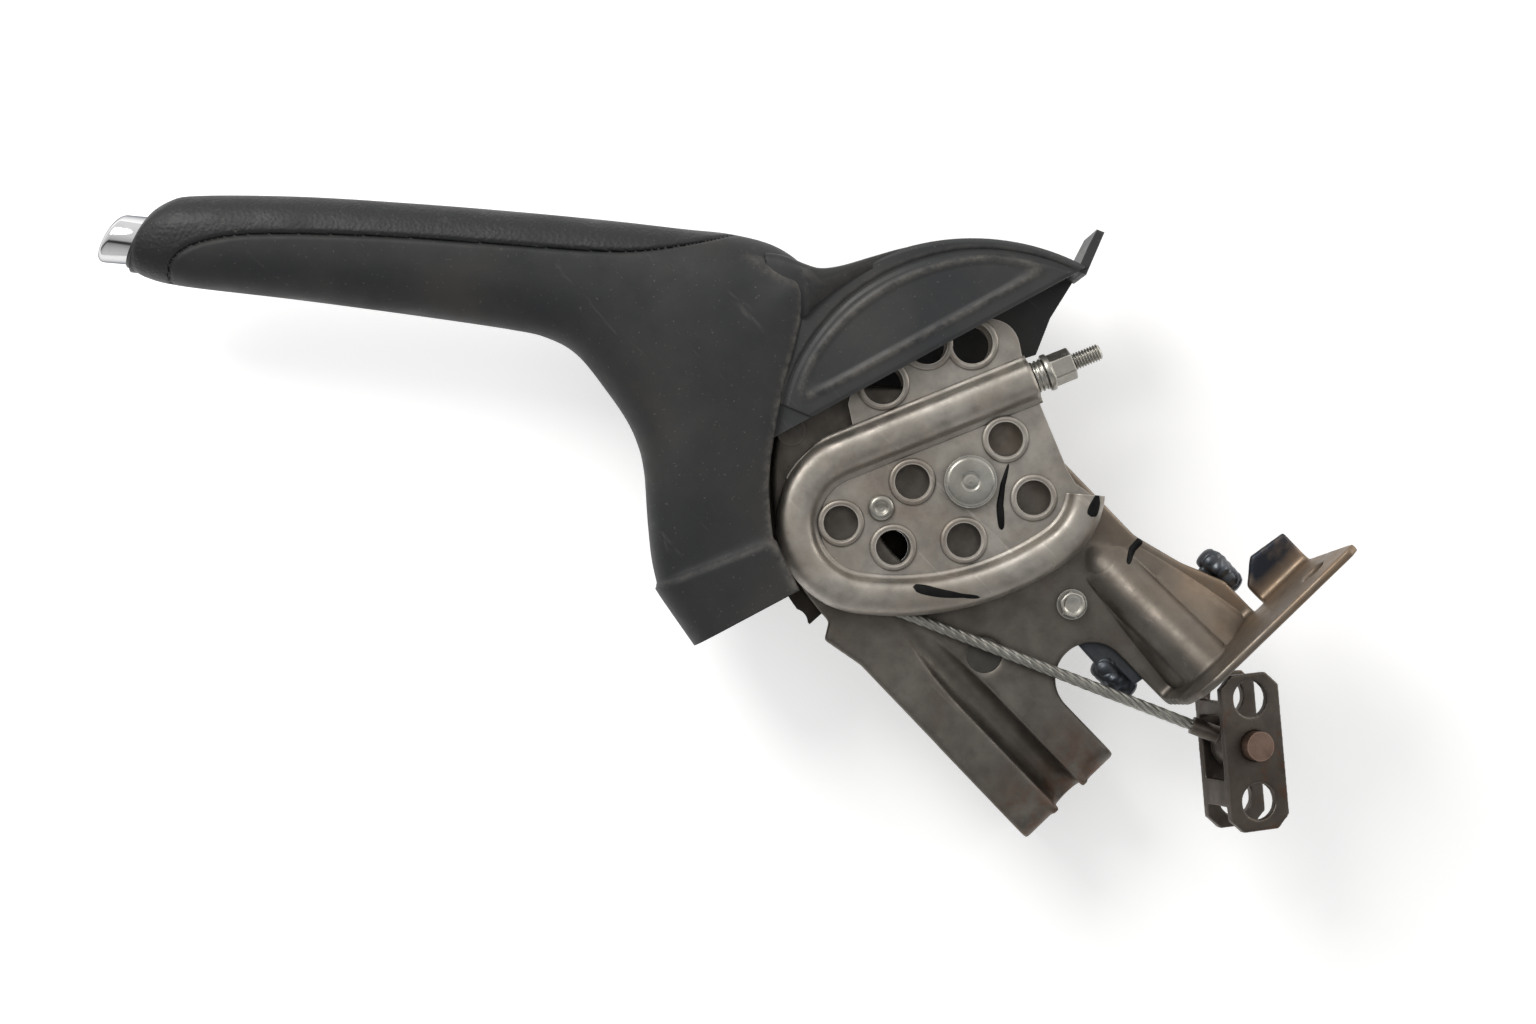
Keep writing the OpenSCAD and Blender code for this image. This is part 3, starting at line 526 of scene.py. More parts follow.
def seam_height(s, curve):
    bottom, top = s[2:4], s[0:2]
    along = top - bottom
    side = along[0] * (curve[:, 1] - bottom[1]) - along[1] * (curve[:, 0] - bottom[0])
    cross = np.where((side[:-1] > 0) != (side[1:] > 0))[0]
    if len(cross) == 0:
        return -OFF_RING if np.mean(curve[:, 0]) > s[0] else OFF_RING
    i = cross[0]
    t = side[i] / (side[i] - side[i + 1])
    p = curve[i] + t * (curve[i + 1] - curve[i])
    return float(np.clip(2 * np.dot(p - bottom, along) / np.dot(along, along) - 1, -OFF_RING, OFF_RING))


def on_ring(s, h, side):
    n = s[5] if h > 0 else s[6]
    sine = min(abs(h), 1.0) ** (n / 2)
    y = side * s[4] * math.sqrt(max(0.0, 1 - sine ** 2)) ** (2 / n)
    mid, up = (s[0:2] + s[2:4]) / 2, (s[0:2] - s[2:4]) / 2
    return np.array([mid[0] + up[0] * h, y, mid[1] + up[1] * h])


# Raked nose round the button's bore
NOSE_FROM = 1.45
NOSE_MID, NOSE_RAKE = 4.75, 0.388
NOSE_ROUND, NOSE_SOFT, NOSE_REACH = 0.12, 2.0, 30.0
NOSE_ROWS, NOSE_PUFF = 4, 0.15
NOSE_LIP = [(2.4, 0.0), (0.9, 0.0), (0.3, 0.2), (0.05, 0.6)]


def nose_depth(lift):
    return NOSE_MID + NOSE_RAKE * lift


def shape_nose(points):
    off = points[..., [0, 2]] - GRIP.base
    depth, lift = off @ GRIP.along, off @ GRIP.up
    radius = np.hypot(lift, points[..., 1])
    least = nose_depth(lift) + NOSE_ROUND * np.maximum(radius - BORE_R, 0) ** 2
    least = np.where(depth < NOSE_REACH, least, -NOSE_REACH)
    moved = np.logaddexp(depth * NOSE_SOFT, least * NOSE_SOFT) / NOSE_SOFT - depth
    out = points.copy()
    out[..., 0] += moved * GRIP.along[0]
    out[..., 2] += moved * GRIP.along[1]
    return out


def nose_rings(first):
    angles = np.concatenate([np.linspace(*TOP_ARC, TOP_COLS, endpoint=False),
                             np.linspace(*SIDE_ARC, SIDE_COLS, endpoint=False)])
    rows = [GRIP.ring(BORE_DEEP, BORE_R, angles)]
    for sink, out in NOSE_LIP:
        depth = nose_depth((BORE_R + out) * np.sin(angles)) + sink
        rows.append(GRIP.ring(depth, BORE_R + out, angles))
    for t in np.linspace(0, 1, NOSE_ROWS, endpoint=False)[1:]:
        row = rows[len(NOSE_LIP)] * (1 - t) + first * t
        row[:, 0] -= NOSE_PUFF * math.sin(math.pi * t)
        rows.append(row)
    return np.array(rows)


# Seam groove, hem and crease of the shell, along its stations, and the wear on its rim
SEAM_FRONT, SEAM_DEEP, SEAM_WIDE = -262.0, 1.0, 0.8
HEM_AT, HEM_RUN, HEM_HIGH = 17.62, 0.16, 0.9
CREASE_AT, CREASE_WIDE, CREASE_DEEP = 17.6, 0.05, 0.5
RIM_FROM, RIM_WIDE = 9.5, 2.2
HEM_WEAR_AT, HEM_WEAR_WIDE, HEM_WEAR = 17.75, 0.12, 0.5


def steep_seam(stations, line):
    bottom, along = stations[:, 2:4], stations[:, 0:2] - stations[:, 2:4]
    found = []
    for p in line:
        off = p - bottom
        i = int(np.argmin(np.abs(along[:, 0] * off[:, 1] - along[:, 1] * off[:, 0])))
        h = 2 * np.dot(off[i], along[i]) / np.dot(along[i], along[i]) - 1
        if abs(h) < 1:
            found += [on_ring(stations[i], h, side) for side in (-1, 1)]
    return found


def outward(rings):
    across = np.roll(rings, -1, axis=1) - np.roll(rings, 1, axis=1)
    normal = np.cross(across, np.gradient(rings, axis=0))
    normal /= np.linalg.norm(normal, axis=-1, keepdims=True) + 1e-12
    from_centre = rings - rings.mean(axis=1, keepdims=True)
    return -normal if np.mean(np.sum(normal * from_centre, axis=-1)) < 0 else normal


def distance_to(points, rings):
    tree = KDTree(len(points))
    for i, p in enumerate(points):
        tree.insert(Vector(p), i)
    tree.balance()
    return np.array([[tree.find(Vector(p))[2] for p in ring] for ring in rings])


def build_shell():
    fine, place = fine_stations()
    fine, place = fine[place >= NOSE_FROM], place[place >= NOSE_FROM]
    seam_line = np.array([spline(SEAM, i, t) for i in range(len(SEAM) - 1) for t in np.linspace(0, 1, 16)])
    top_angles = np.linspace(*TOP_ARC, DENSE)
    side_angles = np.linspace(*SIDE_ARC, 2 * DENSE)
    rings, heights, levels, seam_points = [], [], [], []
    for s in fine:
        top, top_h = spread(*ring_curve(s, top_angles), TOP_COLS)
        side, side_h = spread(*ring_curve(s, side_angles), SIDE_COLS)
        ring, h = np.concatenate([top, side]), np.concatenate([top_h, side_h])
        level = seam_height(s, seam_line)
        if abs(level) < 1:
            for sign in (-1, 1):
                half = np.where(np.sign(ring[:, 1]) == sign)[0]
                nearest = half[np.argmin(np.abs(h[half] - level))]
                ring[nearest] = on_ring(s, level, sign)
                h[nearest] = level
                seam_points.append(ring[nearest].copy())
        rings.append(ring)
        heights.append(h)
        levels.append(level)
    seam_points += steep_seam(fine[place < FRONT_STATIONS], seam_line[seam_line[:, 0] < SEAM_FRONT])
    rings = np.array(rings)
    push = -SEAM_DEEP * np.exp(-(distance_to(seam_points, rings) / SEAM_WIDE) ** 2)
    push += (HEM_HIGH * soft_step(place, HEM_AT, HEM_RUN))[:, None]
    push -= (CREASE_DEEP * np.exp(-((place - CREASE_AT) / CREASE_WIDE) ** 2))[:, None]
    shaped = shape_nose(rings + outward(rings) * push[..., None])
    cols = TOP_COLS + SIDE_COLS
    rim = np.minimum(np.abs(np.arange(cols) - TOP_COLS), np.abs(cols - np.arange(cols)))
    rim_wear = np.exp(-(rim / RIM_WIDE) ** 2)[None, :] * np.clip(place - RIM_FROM, 0, 1)[:, None]
    hem_wear = HEM_WEAR * np.exp(-((place - HEM_WEAR_AT) / HEM_WEAR_WIDE) ** 2)[:, None]
    mouth = int(np.argmax(fine[:, 7] > 0))
    return shaped, np.array(heights), np.array(levels), np.clip(rim_wear + hem_wear, 0, 1), mouth


rings, heights, levels, wear, mouth = build_shell()
nose = nose_rings(rings[0])
nose_count, cols = nose.shape[:2]
rings = np.concatenate([nose, rings])
heights = np.concatenate([np.full((nose_count, cols), 1.0), heights])
levels = np.concatenate([np.full(nose_count, -OFF_RING), levels])
wear = np.concatenate([np.zeros((nose_count, cols)), wear])
mouth += nose_count
on_insert = heights >= levels[:, None] - 1e-6
insert_faces, shell_faces = [], []
for i in range(len(rings) - 1):
    for k in range(cols):
        j = (k + 1) % cols
        if i >= mouth and k < TOP_COLS:
            continue
        quad = (i * cols + k, i * cols + j, (i + 1) * cols + j, (i + 1) * cols + k)
        inside = on_insert[i, k] and on_insert[i, j] and on_insert[i + 1, j] and on_insert[i + 1, k]
        (insert_faces if inside else shell_faces).append(quad)


def part_of_shell(name, faces, node, material, wall):
    used = np.unique(np.array(faces))
    lookup = np.full(len(rings) * cols, -1)
    lookup[used] = np.arange(len(used))
    obj = make_piece(name, rings.reshape(-1, 3)[used], lookup[np.array(faces)], "lever", [node])
    add_weights(obj, "wear", wear.reshape(-1)[used])
    add_solidify(obj, wall)
    dress(obj, material)


part_of_shell("grip_shell", shell_faces, "handle_shell", mat_shell, 3.0)
part_of_shell("grip_grain", insert_faces, "grip_insert", mat_insert, 2.2)

# Release button: a bright cap with a raked, rounded end
BUTTON_R, BUTTON_BACK = 8.5, 24.0
END_MID, END_RAKE, END_ROUND, END_CROWN = -6.3, 0.42, 2.8, 0.3
CROWN_RADII = (4.5, 3.0, 1.5, 0.05)


def button_cap():
    angles = circle(96)
    profile = [(END_ROUND * (1 - math.sin(f)), BUTTON_R - END_ROUND * (1 - math.cos(f)))
               for f in np.linspace(0, math.pi / 2, 10)]
    profile += [(-END_CROWN * (1 - (r / (BUTTON_R - END_ROUND)) ** 2), r) for r in CROWN_RADII]
    rows = [GRIP.ring(BUTTON_BACK, BUTTON_R, angles)]
    rows += [GRIP.ring(END_MID + END_RAKE * r * np.sin(angles) + d, r, angles) for d, r in profile]
    dress(closed_tube("button_cap", rows, "button", ["release_button"]), mat_chrome)


button_cap()

# Return spring of the button, which is pressed together between its collar and the rod guide
SPRING_FROM, SPRING_LEN, SPRING_END = 114.0, 26.0, 0.4
COIL_R, WIRE_R, COIL_TURNS = 3.45, 0.45, 8


def return_spring():
    steps, section = 24 * COIL_TURNS, circle(10)
    depths = np.linspace(SPRING_END + WIRE_R, SPRING_LEN - SPRING_END - WIRE_R, steps + 1) + SPRING_FROM
    rows = [GRIP.ring(depth + WIRE_R * np.sin(section), COIL_R + WIRE_R * np.cos(section),
                      2 * math.pi * COIL_TURNS * i / steps) for i, depth in enumerate(depths)]
    obj = closed_tube("return_spring", rows, "button", ["release_spring"])
    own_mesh(dress(obj, mat_spring))


return_spring()

# Saddle where the grip runs into the dust cover
SADDLE_TOP = np.array([[-70, 78], [-65.5, 77.4], [-61, 75.9], [-56, 73.6], [-51, 72.3], [-44, 73.2],
                       [-34, 76.1], [-25, 78.7], [-16, 80.7]])
SADDLE_HALF = np.array([[-70, 16.0], [-60, 18.6], [-56, 20.3], [-44, 19.4], [-25, 17.8], [-16, 17.4]])
SADDLE_INNER_R, SADDLE_CLEAR = 79.3, -57.0
SADDLE_POWER, SADDLE_WEAR, SADDLE_WALL = 11.0, 0.2, 1.5


def saddle():
    u = np.linspace(SADDLE_TOP[0, 0], SADDLE_TOP[-1, 0], 60)
    top = np.interp(u, *smooth_line(SADDLE_TOP, 200).T)
    low = np.sqrt(SADDLE_INNER_R ** 2 - np.maximum(u, SADDLE_CLEAR) ** 2)
    half = np.interp(u, *SADDLE_HALF.T)
    angles = np.linspace(0, math.pi, 72)
    height = np.sin(angles) ** (2 / SADDLE_POWER)
    side = np.sign(np.cos(angles)) * np.abs(np.cos(angles)) ** (2 / SADDLE_POWER)
    rows = [np.stack([np.full(len(angles), a), h * side, b + (t - b) * height], axis=-1)
            for a, h, b, t in zip(u, half, low, top)]
    obj = open_sheet("shell_saddle", rows, "lever")
    from_edge = np.minimum(np.arange(len(angles)), len(angles) - 1 - np.arange(len(angles)))
    edge = SADDLE_WEAR * np.exp(-(from_edge / 1.5) ** 2)
    add_weights(obj, "wear", np.tile(edge, len(u)) * np.repeat(u > SADDLE_CLEAR, len(angles)))
    add_solidify(obj, SADDLE_WALL)
    dress(obj, mat_shell)


saddle()

# Raised cable channel on the near cheek: a straight stretch, then three arcs
BEADS = [((-35, -14), 24.5, 112, 262), ((-25.2, 55.8), 95, 262, 305), ((15.5, -2.3), 24, 305, 355)]
CHANNEL_LEN, STRAIGHT_COUNT = 71, 48
ADJUSTER_Y = -5.2
BEAD_CROWN = [(5.5, 3.1), (4.8, 4.0), (3.7, 4.6), (2.3, 4.9), (1.1, 4.98)]
FLARED_FOOT = [(8.4, 0.03), (7.5, 0.12), (6.8, 0.5), (6.3, 1.2), (5.9, 2.1)]
TURNED_FOOT = [(6.7, -2.1), (6.75, -1.0), (6.7, 0.2), (6.45, 1.2), (6.0, 2.15)]
INNER_HALF = [(-x, h) for x, h in FLARED_FOOT + BEAD_CROWN] + [(0, 5.0)]
BEAD_FLARED = np.array(INNER_HALF + (FLARED_FOOT + BEAD_CROWN)[::-1])
BEAD_TURNED = np.array(INNER_HALF + (TURNED_FOOT + BEAD_CROWN)[::-1])
FLARE_ENDS = (118.0, 150.0)
INNER_WIDE, INNER_NARROWS = 1.06, 0.24
CHANNEL_WALL = 1.2


def on_arc(centre, radius, angle):
    turn = math.radians(angle)
    return centre[0] + radius * math.cos(turn), centre[1] + radius * math.sin(turn)


CHANNEL = Line(on_arc(*BEADS[0][:3]), math.radians(BEADS[0][2] - 90), ADJUSTER_Y)


def bead_path():
    straight = np.linspace(CHANNEL_LEN, 0, STRAIGHT_COUNT, endpoint=False)
    path = [(*CHANNEL.at(t), BEADS[0][2]) for t in straight]
    for centre, radius, first, last in BEADS:
        count = int(abs(last - first) * max(1.0, radius / 60))
        path += [(*on_arc(centre, radius, a), a) for a in np.linspace(first, last, count, endpoint=False)]
    centre, radius, _, last = BEADS[-1]
    path.append((*on_arc(centre, radius, last), last))
    return np.array(path)


def bead_points(path, lift=0.0):
    rows = []
    for i, (u, w, a) in enumerate(path):
        turned = np.clip((a - FLARE_ENDS[0]) / (FLARE_ENDS[1] - FLARE_ENDS[0]), 0, 1)
        profile = BEAD_FLARED * (1 - turned) + BEAD_TURNED * turned
        inner = INNER_WIDE - INNER_NARROWS * i / (len(path) - 1)
        x, h = np.where(profile[:, 0] < 0, profile[:, 0] * inner, profile[:, 0]), profile[:, 1]
        cosine, sine = math.cos(math.radians(a)), math.sin(math.radians(a))
        rows.append(np.stack([u + x * cosine, -CHEEK_OUT - h - lift, w + x * sine], axis=-1))
    return np.array(rows)


path = bead_path()
channel = open_sheet("pressed_channel", bead_points(path), "lever", ["cable_channel"])
add_solidify(channel, CHANNEL_WALL)
dress(channel, mat_cheek)

# Near cheek: the CAD's sheet, opened left of the channel under the dust cover
WINDOW_R, WINDOW_TURN = 31.7, 185
WINDOW_LEFT, WINDOW_RIGHT, WINDOW_TOP = -71.0, -40.5, 36.0
WINDOW_EDGE = [(-39.8, 18.3), (-41.6, 26.5), (WINDOW_RIGHT, 31.0), (WINDOW_RIGHT, WINDOW_TOP),
               (WINDOW_LEFT, WINDOW_TOP)]
WINDOW_PAST = 3.0
SHEET_BEVEL = 0.3


def window_cutter():
    arc = [on_arc(BEADS[0][0], WINDOW_R, a) for a in np.linspace(WINDOW_TURN, BEADS[0][2], 24)]
    outline = [(WINDOW_LEFT, arc[0][1]), *arc, *WINDOW_EDGE]
    count = len(outline)
    points = [(u, y, w) for y in (-CHEEK_OUT - WINDOW_PAST, -CHEEK_IN + WINDOW_PAST) for u, w in outline]
    faces = [tuple(range(count)), tuple(reversed(range(count, 2 * count)))]
    faces += [(k, k + count, (k + 1) % count + count, (k + 1) % count) for k in range(count)]
    mesh = bpy.data.meshes.new("window_cut")
    mesh.from_pydata([tuple(p) for p in to_row(points)], [], faces)
    form = bmesh.new()
    form.from_mesh(mesh)
    bmesh.ops.recalc_face_normals(form, faces=form.faces)
    form.to_mesh(mesh)
    form.free()
    return add_object("window_cut", mesh)


def cheek_sheet():
    cutter = window_cutter()
    sheet = add_object("cheek_sheet", nodes["near_cheek"].data.copy())
    add_weld(sheet)
    cut = sheet.modifiers.new("window", "BOOLEAN")
    cut.object = cutter
    cut.solver = "EXACT"
    sheet.data = bpy.data.meshes.new_from_object(sheet.evaluated_get(bpy.context.evaluated_depsgraph_get()))
    sheet.modifiers.clear()
    bpy.data.objects.remove(cutter)
    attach(sheet, "lever")
    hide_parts("near_cheek")
    add_bevel(sheet, SHEET_BEVEL)


cheek_sheet()

# Stranded cable
CABLE = Line((-43.9, -36.8), math.radians(-21.17), -4.2)
CABLE_SPAN = (1.0, 129.0)
STRANDS, LAY = 6, 24.0
STRAND_R, STRAND_AT = 0.72, 1.28


def rope_radius(angle):
    step = 2 * math.pi / STRANDS
    off = (angle + step / 2) % step - step / 2
    return STRAND_AT * np.cos(off) + np.sqrt(np.maximum(STRAND_R ** 2 - (STRAND_AT * np.sin(off)) ** 2, 0.0))


def stranded_cable():
    angles = circle(60)
    rows = [CABLE.ring(t, rope_radius(angles - 2 * math.pi * t / LAY), angles)
            for t in np.linspace(*CABLE_SPAN, fine_or_quick(240))]
    dress(closed_tube("cable_strands", rows, "cable", ["cable_run"]), mat_cable)


stranded_cable()

# Threaded adjuster: a plain shank in the channel and a thread that tapers at its tip
THREAD_FROM, THREAD_TO, THREAD_STEP = CHANNEL_LEN - 3.0, CHANNEL_LEN + 25.2, 0.1
SHANK_FROM, SHANK_R = 0.2, 2.9
PITCH, CREST, ROOT = 1.0, 3.0, 2.42
TIP_LEN, TIP_TAPER = 1.0, 0.9


def thread(t, angles, limit):
    phase = np.abs(((t / PITCH - angles / (2 * math.pi)) % 1.0) * 2 - 1)
    return np.minimum(ROOT + (CREST - ROOT) * np.clip(phase * 1.5 - 0.25, 0, 1), limit)


def adjuster_thread():
    angles = circle(40)
    limits = [(SHANK_FROM, SHANK_R), (THREAD_FROM, SHANK_R)]
    limits += [(t, CREST - max(0.0, t - (THREAD_TO - TIP_LEN)) * TIP_TAPER)
               for t in np.arange(THREAD_FROM, THREAD_TO, THREAD_STEP)]
    rows = [CHANNEL.ring(t, thread(t, angles, limit), angles) for t, limit in limits]
    dress(closed_tube("adjuster_thread", rows, "lever", ["adjuster_rod"]), mat_zinc)


adjuster_thread()


# Turned faces, as radius and height above a face that looks toward the channel side
def face_ring(at, y, radius, angles):
    u, w = at[0] + radius * np.cos(angles), at[1] + radius * np.sin(angles)
    return np.stack([u, np.full(len(angles), y), w], axis=-1)


def lathe_face(name, at, y_face, profile, body, material):
    angles = circle(64)
    rows = [face_ring(at, y_face - h, r, angles) for r, h in profile]
    dress(closed_tube(name, rows, body), material)


PIVOT_FACE = -CHEEK_OUT - 3.4
PIVOT_PROFILE = [(8.1, -0.1), (7.9, 0.12), (7.2, 0.22), (3.6, 0.3), (3.2, 0.25), (2.9, 0.05), (2.5, -0.02),
                 (2.2, 0.1), (1.2, 0.14), (0.05, 0.15)]
STOP_AT = (-30.3, -9)
STOP_PROFILE = [(4.4, 0.05), (4.5, 0.7), (4.1, 1.35), (3.3, 1.7), (2.5, 1.75), (2.0, 1.5), (1.8, 1.25),
                (0.9, 1.22), (0.05, 1.21)]
lathe_face("pivot_head_face", (0, 0), PIVOT_FACE, PIVOT_PROFILE, "bracket", mat_pin)
lathe_face("stop_rivet_curl", STOP_AT, -CHEEK_OUT, STOP_PROFILE, "lever", mat_pin)

# Head of the brace screw, as share of the hexagon, radius and height, dished in the middle
SCREW_AT, SCREW_TURN = (35.55, -42.13), 0.3
FLAT = 4.25
HEAD = [(1, FLAT, 0.9), (1, FLAT, 3.7), (0.5, 4.05, 4.2), (0, 3.65, 4.35), (0, 3.2, 4.25), (0, 2.6, 3.8),
        (0, 0.05, 3.7)]


def screw_head():
    angles = circle(72)
    corner = 1 / np.cos((angles + SCREW_TURN) % (math.pi / 3) - math.pi / 6)
    rows = [face_ring(SCREW_AT, -SHEET_FACE - h, r * (1 + six * (corner - 1)), angles) for six, r, h in HEAD]
    obj = closed_tube("screw_head_face", rows, "bracket", smooth=False, first_cap=False)
    dress(obj, mat_zinc)


screw_head()

# Broad pressed bulge that runs from the rear leg into its foot, over the CAD's own dart
BULGE_X, BULGE_R = 14.0, 9.0
BULGE_TOP, FLOOR_Z, FOOT_TOP = -46.0, -103.0, -101.4
AXIS_START, AXIS_RUN, DART_TOP = -7.5, 22.0, -50.0
BULGE_LEFT, BULGE_RIGHT = (6.5, 14.5), (6.5, 25.0)
BULGE_SOFT, BULGE_PROUD, BULGE_SINK = 0.7, 0.6, 0.8
SKIRT_OVER, SKIRT_HIGH, EDGE_RUN = 1.5, 1.5, 0.16


def from_bracket(x, y, z):
    u = x * math.cos(RISE) - z * math.sin(RISE)
    w = x * math.sin(RISE) + z * math.cos(RISE)
    return np.stack([u, y, w], axis=-1)


def bulge():
    shares = np.linspace(-1, 1, fine_or_quick(121))
    rows = []
    for z in np.linspace(BULGE_TOP, FOOT_TOP, fine_or_quick(110)):
        down = (BULGE_TOP - z) / (BULGE_TOP - FOOT_TOP)
        left, right = (np.interp(math.sqrt(down), [0, 1], ends) for ends in (BULGE_LEFT, BULGE_RIGHT))
        half = np.where(shares < 0, left, right)
        dx = shares * half
        out = AXIS_START + AXIS_RUN * (DART_TOP - z) / (DART_TOP - FLOOR_Z)
        round_top = out + np.sqrt(np.maximum(BULGE_R ** 2 - dx ** 2, 0.0)) + BULGE_PROUD
        round_top = np.where(np.abs(dx) < BULGE_R, round_top, -BULGE_R)
        inner = BULGE_R - SKIRT_OVER
        skirt = max(out, 0.0) + SKIRT_HIGH * soft_step(np.array(down), 0.1, 0.3)
        skirt = skirt * (1 - soft_step(np.abs(dx), inner, half - inner))
        height = np.logaddexp(BULGE_SOFT * round_top, BULGE_SOFT * skirt) / BULGE_SOFT
        edge = soft_step(1 - np.abs(shares), 0.0, EDGE_RUN) * soft_step(np.array(down), 0.0, EDGE_RUN)
        height = height * edge - BULGE_SINK * (1 - edge)
        rows.append(from_bracket(BULGE_X + dx, -SHEET_FACE - height, np.full(len(dx), z)))
    obj = open_sheet("rear_leg_bulge", rows, "bracket")
    add_smooth(obj, 6)
    return dress(obj, mat_bracket)


leg_bulge = bulge()

# Rippled weld metal over the brace's two lobes
LOBES = [(-10.5, -84.0), (41.5, -83.0)]
LOBE_Y, LOBE_R, LOBE_HALF, LOBE_TIP = SHEET_FACE + 3.0, 4.75, 4.0, 0.02
RIPPLE, RIPPLE_PITCH, RIPPLE_BEND, LUMP = 0.28, 2.7, 0.45, 0.7


def weld_rows(x, z):
    angles = circle(72)
    for turn in np.linspace(LOBE_TIP, math.pi - LOBE_TIP, 72):
        sine, cosine = math.sin(turn), math.cos(turn)
        height = LOBE_R * cosine + LOBE_HALF * cosine / max(abs(cosine), sine)
        ripple = np.abs(np.sin(math.pi * (height / RIPPLE_PITCH + RIPPLE_BEND * np.cos(angles + x))))
        lump = np.sin(2 * angles + x) * math.cos(0.45 * height + z)
        lump = lump + 0.6 * np.sin(3 * angles + 0.6 * height)
        radius = (LOBE_R + RIPPLE * (ripple - 0.6) + LUMP * lump) * sine ** 0.8
        yield from_bracket(x + radius * np.cos(angles), LOBE_Y + radius * np.sin(angles),
                           np.full(len(angles), z + height))


def welds():
    points, faces = [], []
    for x, z in LOBES:
        rows = np.array(list(weld_rows(x, z)))
        faces += tube_faces(*rows.shape[:2], start=len(points))
        points.extend(rows.reshape(-1, 3))
    dress(make_piece("brace_welds", points, faces, "bracket"), mat_brace)


welds()

# Flat floor of the round recess under the cable, in a steel darker than the bracket round it
RECESS_AT = from_bracket(-37.5, 0.0, -46.7)[[0, 2]]
RECESS_PROFILE = [(6.3, -0.75), (6.15, -0.42), (5.7, -0.36), (0.05, -0.36)]
lathe_face("recess_floor", RECESS_AT, -SHEET_FACE, RECESS_PROFILE, "bracket", mat_recess)

# Curled lips round the lightening holes, and painted shade: a dark disc that fills the far cheek's hole seen
# through one of them
LOWER_HOLES = [(-44.1, -14.1), (-26.2, -22.4), (-2.1, -20), (-19.7, 0), (12.1, 14.5), (21.7, -5.5)]
UPPER_HOLES = [(0.7, 47.2), (-29.7, 33.4), (-14.8, 47)]
LOWER_R, UPPER_R = 6.0, 7.0
LIP_WIDE, LIP_HIGH, LIP_IN, LIP_UP = 1.15, 0.85, 0.2, 0.15
LIP_WOBBLE = 0.06
PLUG_Y = CHEEK_IN + 1.2
PLUG_PROFILE = [(5.9, -0.8), (5.9, 0.1), (5.4, 0.4), (0.05, 0.5)]


def hole_lips():
    points, faces = [], []
    turns, sides = 56, 12
    for at, radius in [(p, LOWER_R) for p in LOWER_HOLES] + [(p, UPPER_R) for p in UPPER_HOLES]:
        start = len(points)
        for a in circle(turns):
            middle = radius + LIP_WIDE - LIP_IN + LIP_WOBBLE * math.sin(3 * a + at[0])
            for b in circle(sides):
                r = middle + LIP_WIDE * math.cos(b)
                y = -CHEEK_OUT - LIP_UP - LIP_HIGH * math.sin(b)
                points.append((at[0] + r * math.cos(a), y, at[1] + r * math.sin(a)))
        for i in range(turns):
            row, after = start + i * sides, start + (i + 1) % turns * sides
            for k in range(sides):
                m = (k + 1) % sides
                faces.append((row + k, after + k, after + m, row + m))
    dress(make_piece("hole_lips", points, faces, "lever"), mat_lip)


hole_lips()
# Painted shade: a dark disc in the far cheek's hole, where only shade is seen
lathe_face("far_hole_shade_plug", LOWER_HOLES[1], PLUG_Y, PLUG_PROFILE, "lever", mat_sector)

# Near side of the dust cover: a rolled band along the arc, a groove inside it and a soft lens-shaped border
HOOD_R, HOOD_FACE, HOOD_TURNS = 82.0, -17.0, (61.6, 158)
SLOPE_A, SLOPE_B = np.array([-61.4, 17.9]), np.array([38.6, 72.4])
GROOVE_LINE = np.array([[62, 79], [85, 78.2], [93.5, 77.7], [107.6, 76.3], [123.6, 74.6], [145, 71.2],
                        [158, 69]])
BORDER_LINE = np.array([[62, 78], [76, 76.1], [84.5, 75.8], [103.5, 72.9], [126, 69.8], [143.6, 67.6],
                        [152, 65.6], [158, 61]])
BORDER_LIFT, BORDER_SOFT, BORDER_WIDE = 6.0, 0.45, 1.1
SKIN_LIFT, BAND_HIGH, FLANK_HIGH, RIDGE_HIGH, PANEL_DEEP = 0.12, 1.15, 0.55, 0.5, 0.2
SKIN_WALL = 0.5


def hood_face():
    along = (SLOPE_B - SLOPE_A) / np.linalg.norm(SLOPE_B - SLOPE_A)
    normal = np.array([-along[1], along[0]])
    rows, worn = [], []
    shares = np.linspace(0, 1, fine_or_quick(120))
    for angle in np.linspace(*HOOD_TURNS, fine_or_quick(260)):
        ray = np.array([math.cos(math.radians(angle)), math.sin(math.radians(angle))])
        inner = np.dot(SLOPE_A, normal) / np.dot(ray, normal)
        r = inner + (HOOD_R - inner) * shares
        point = r[:, None] * ray
        slope = point @ normal - np.dot(SLOPE_A, normal)
        groove = np.interp(angle, *GROOVE_LINE.T) - r
        border = np.interp(angle, *BORDER_LINE.T) - r
        inside = -np.logaddexp(-BORDER_SOFT * border, -BORDER_SOFT * (slope - BORDER_LIFT)) / BORDER_SOFT
        ridge = np.exp(-(inside / BORDER_WIDE) ** 2)
        band = BAND_HIGH * (1 - soft_step(groove, -1.5, 1.1)) * soft_step(HOOD_R - r, -0.3, 1.6)
        flank = FLANK_HIGH * soft_step(groove, 0.5, 1.4) * soft_step(slope, 0.0, 1.4)
        border_high = RIDGE_HIGH * ridge * soft_step(groove, 1.0, 1.5)
        panel = flank + border_high - PANEL_DEEP * soft_step(inside, 0.8, 1.6)
        height = SKIN_LIFT + np.maximum(band, panel)
        rows.append(np.stack([point[:, 0], HOOD_FACE - height, point[:, 1]], axis=-1))
        worn.append(0.75 * ridge + 0.3 * np.exp(-((groove + 1.3) / 0.7) ** 2))
    obj = open_sheet("hood_side_skin", rows, "lever")
    add_weights(obj, "wear", np.array(worn).reshape(-1))
    add_solidify(obj, SKIN_WALL, 0.0)
    dress(obj, mat_hood)


hood_face()

# Black marks left by a paint pen
MARK_WALL, MARK_LIFT, FLAT_LIFT, BEAD_LIFT = 0.06, 0.08, 0.05, 0.06
MARK_COUNT = 48


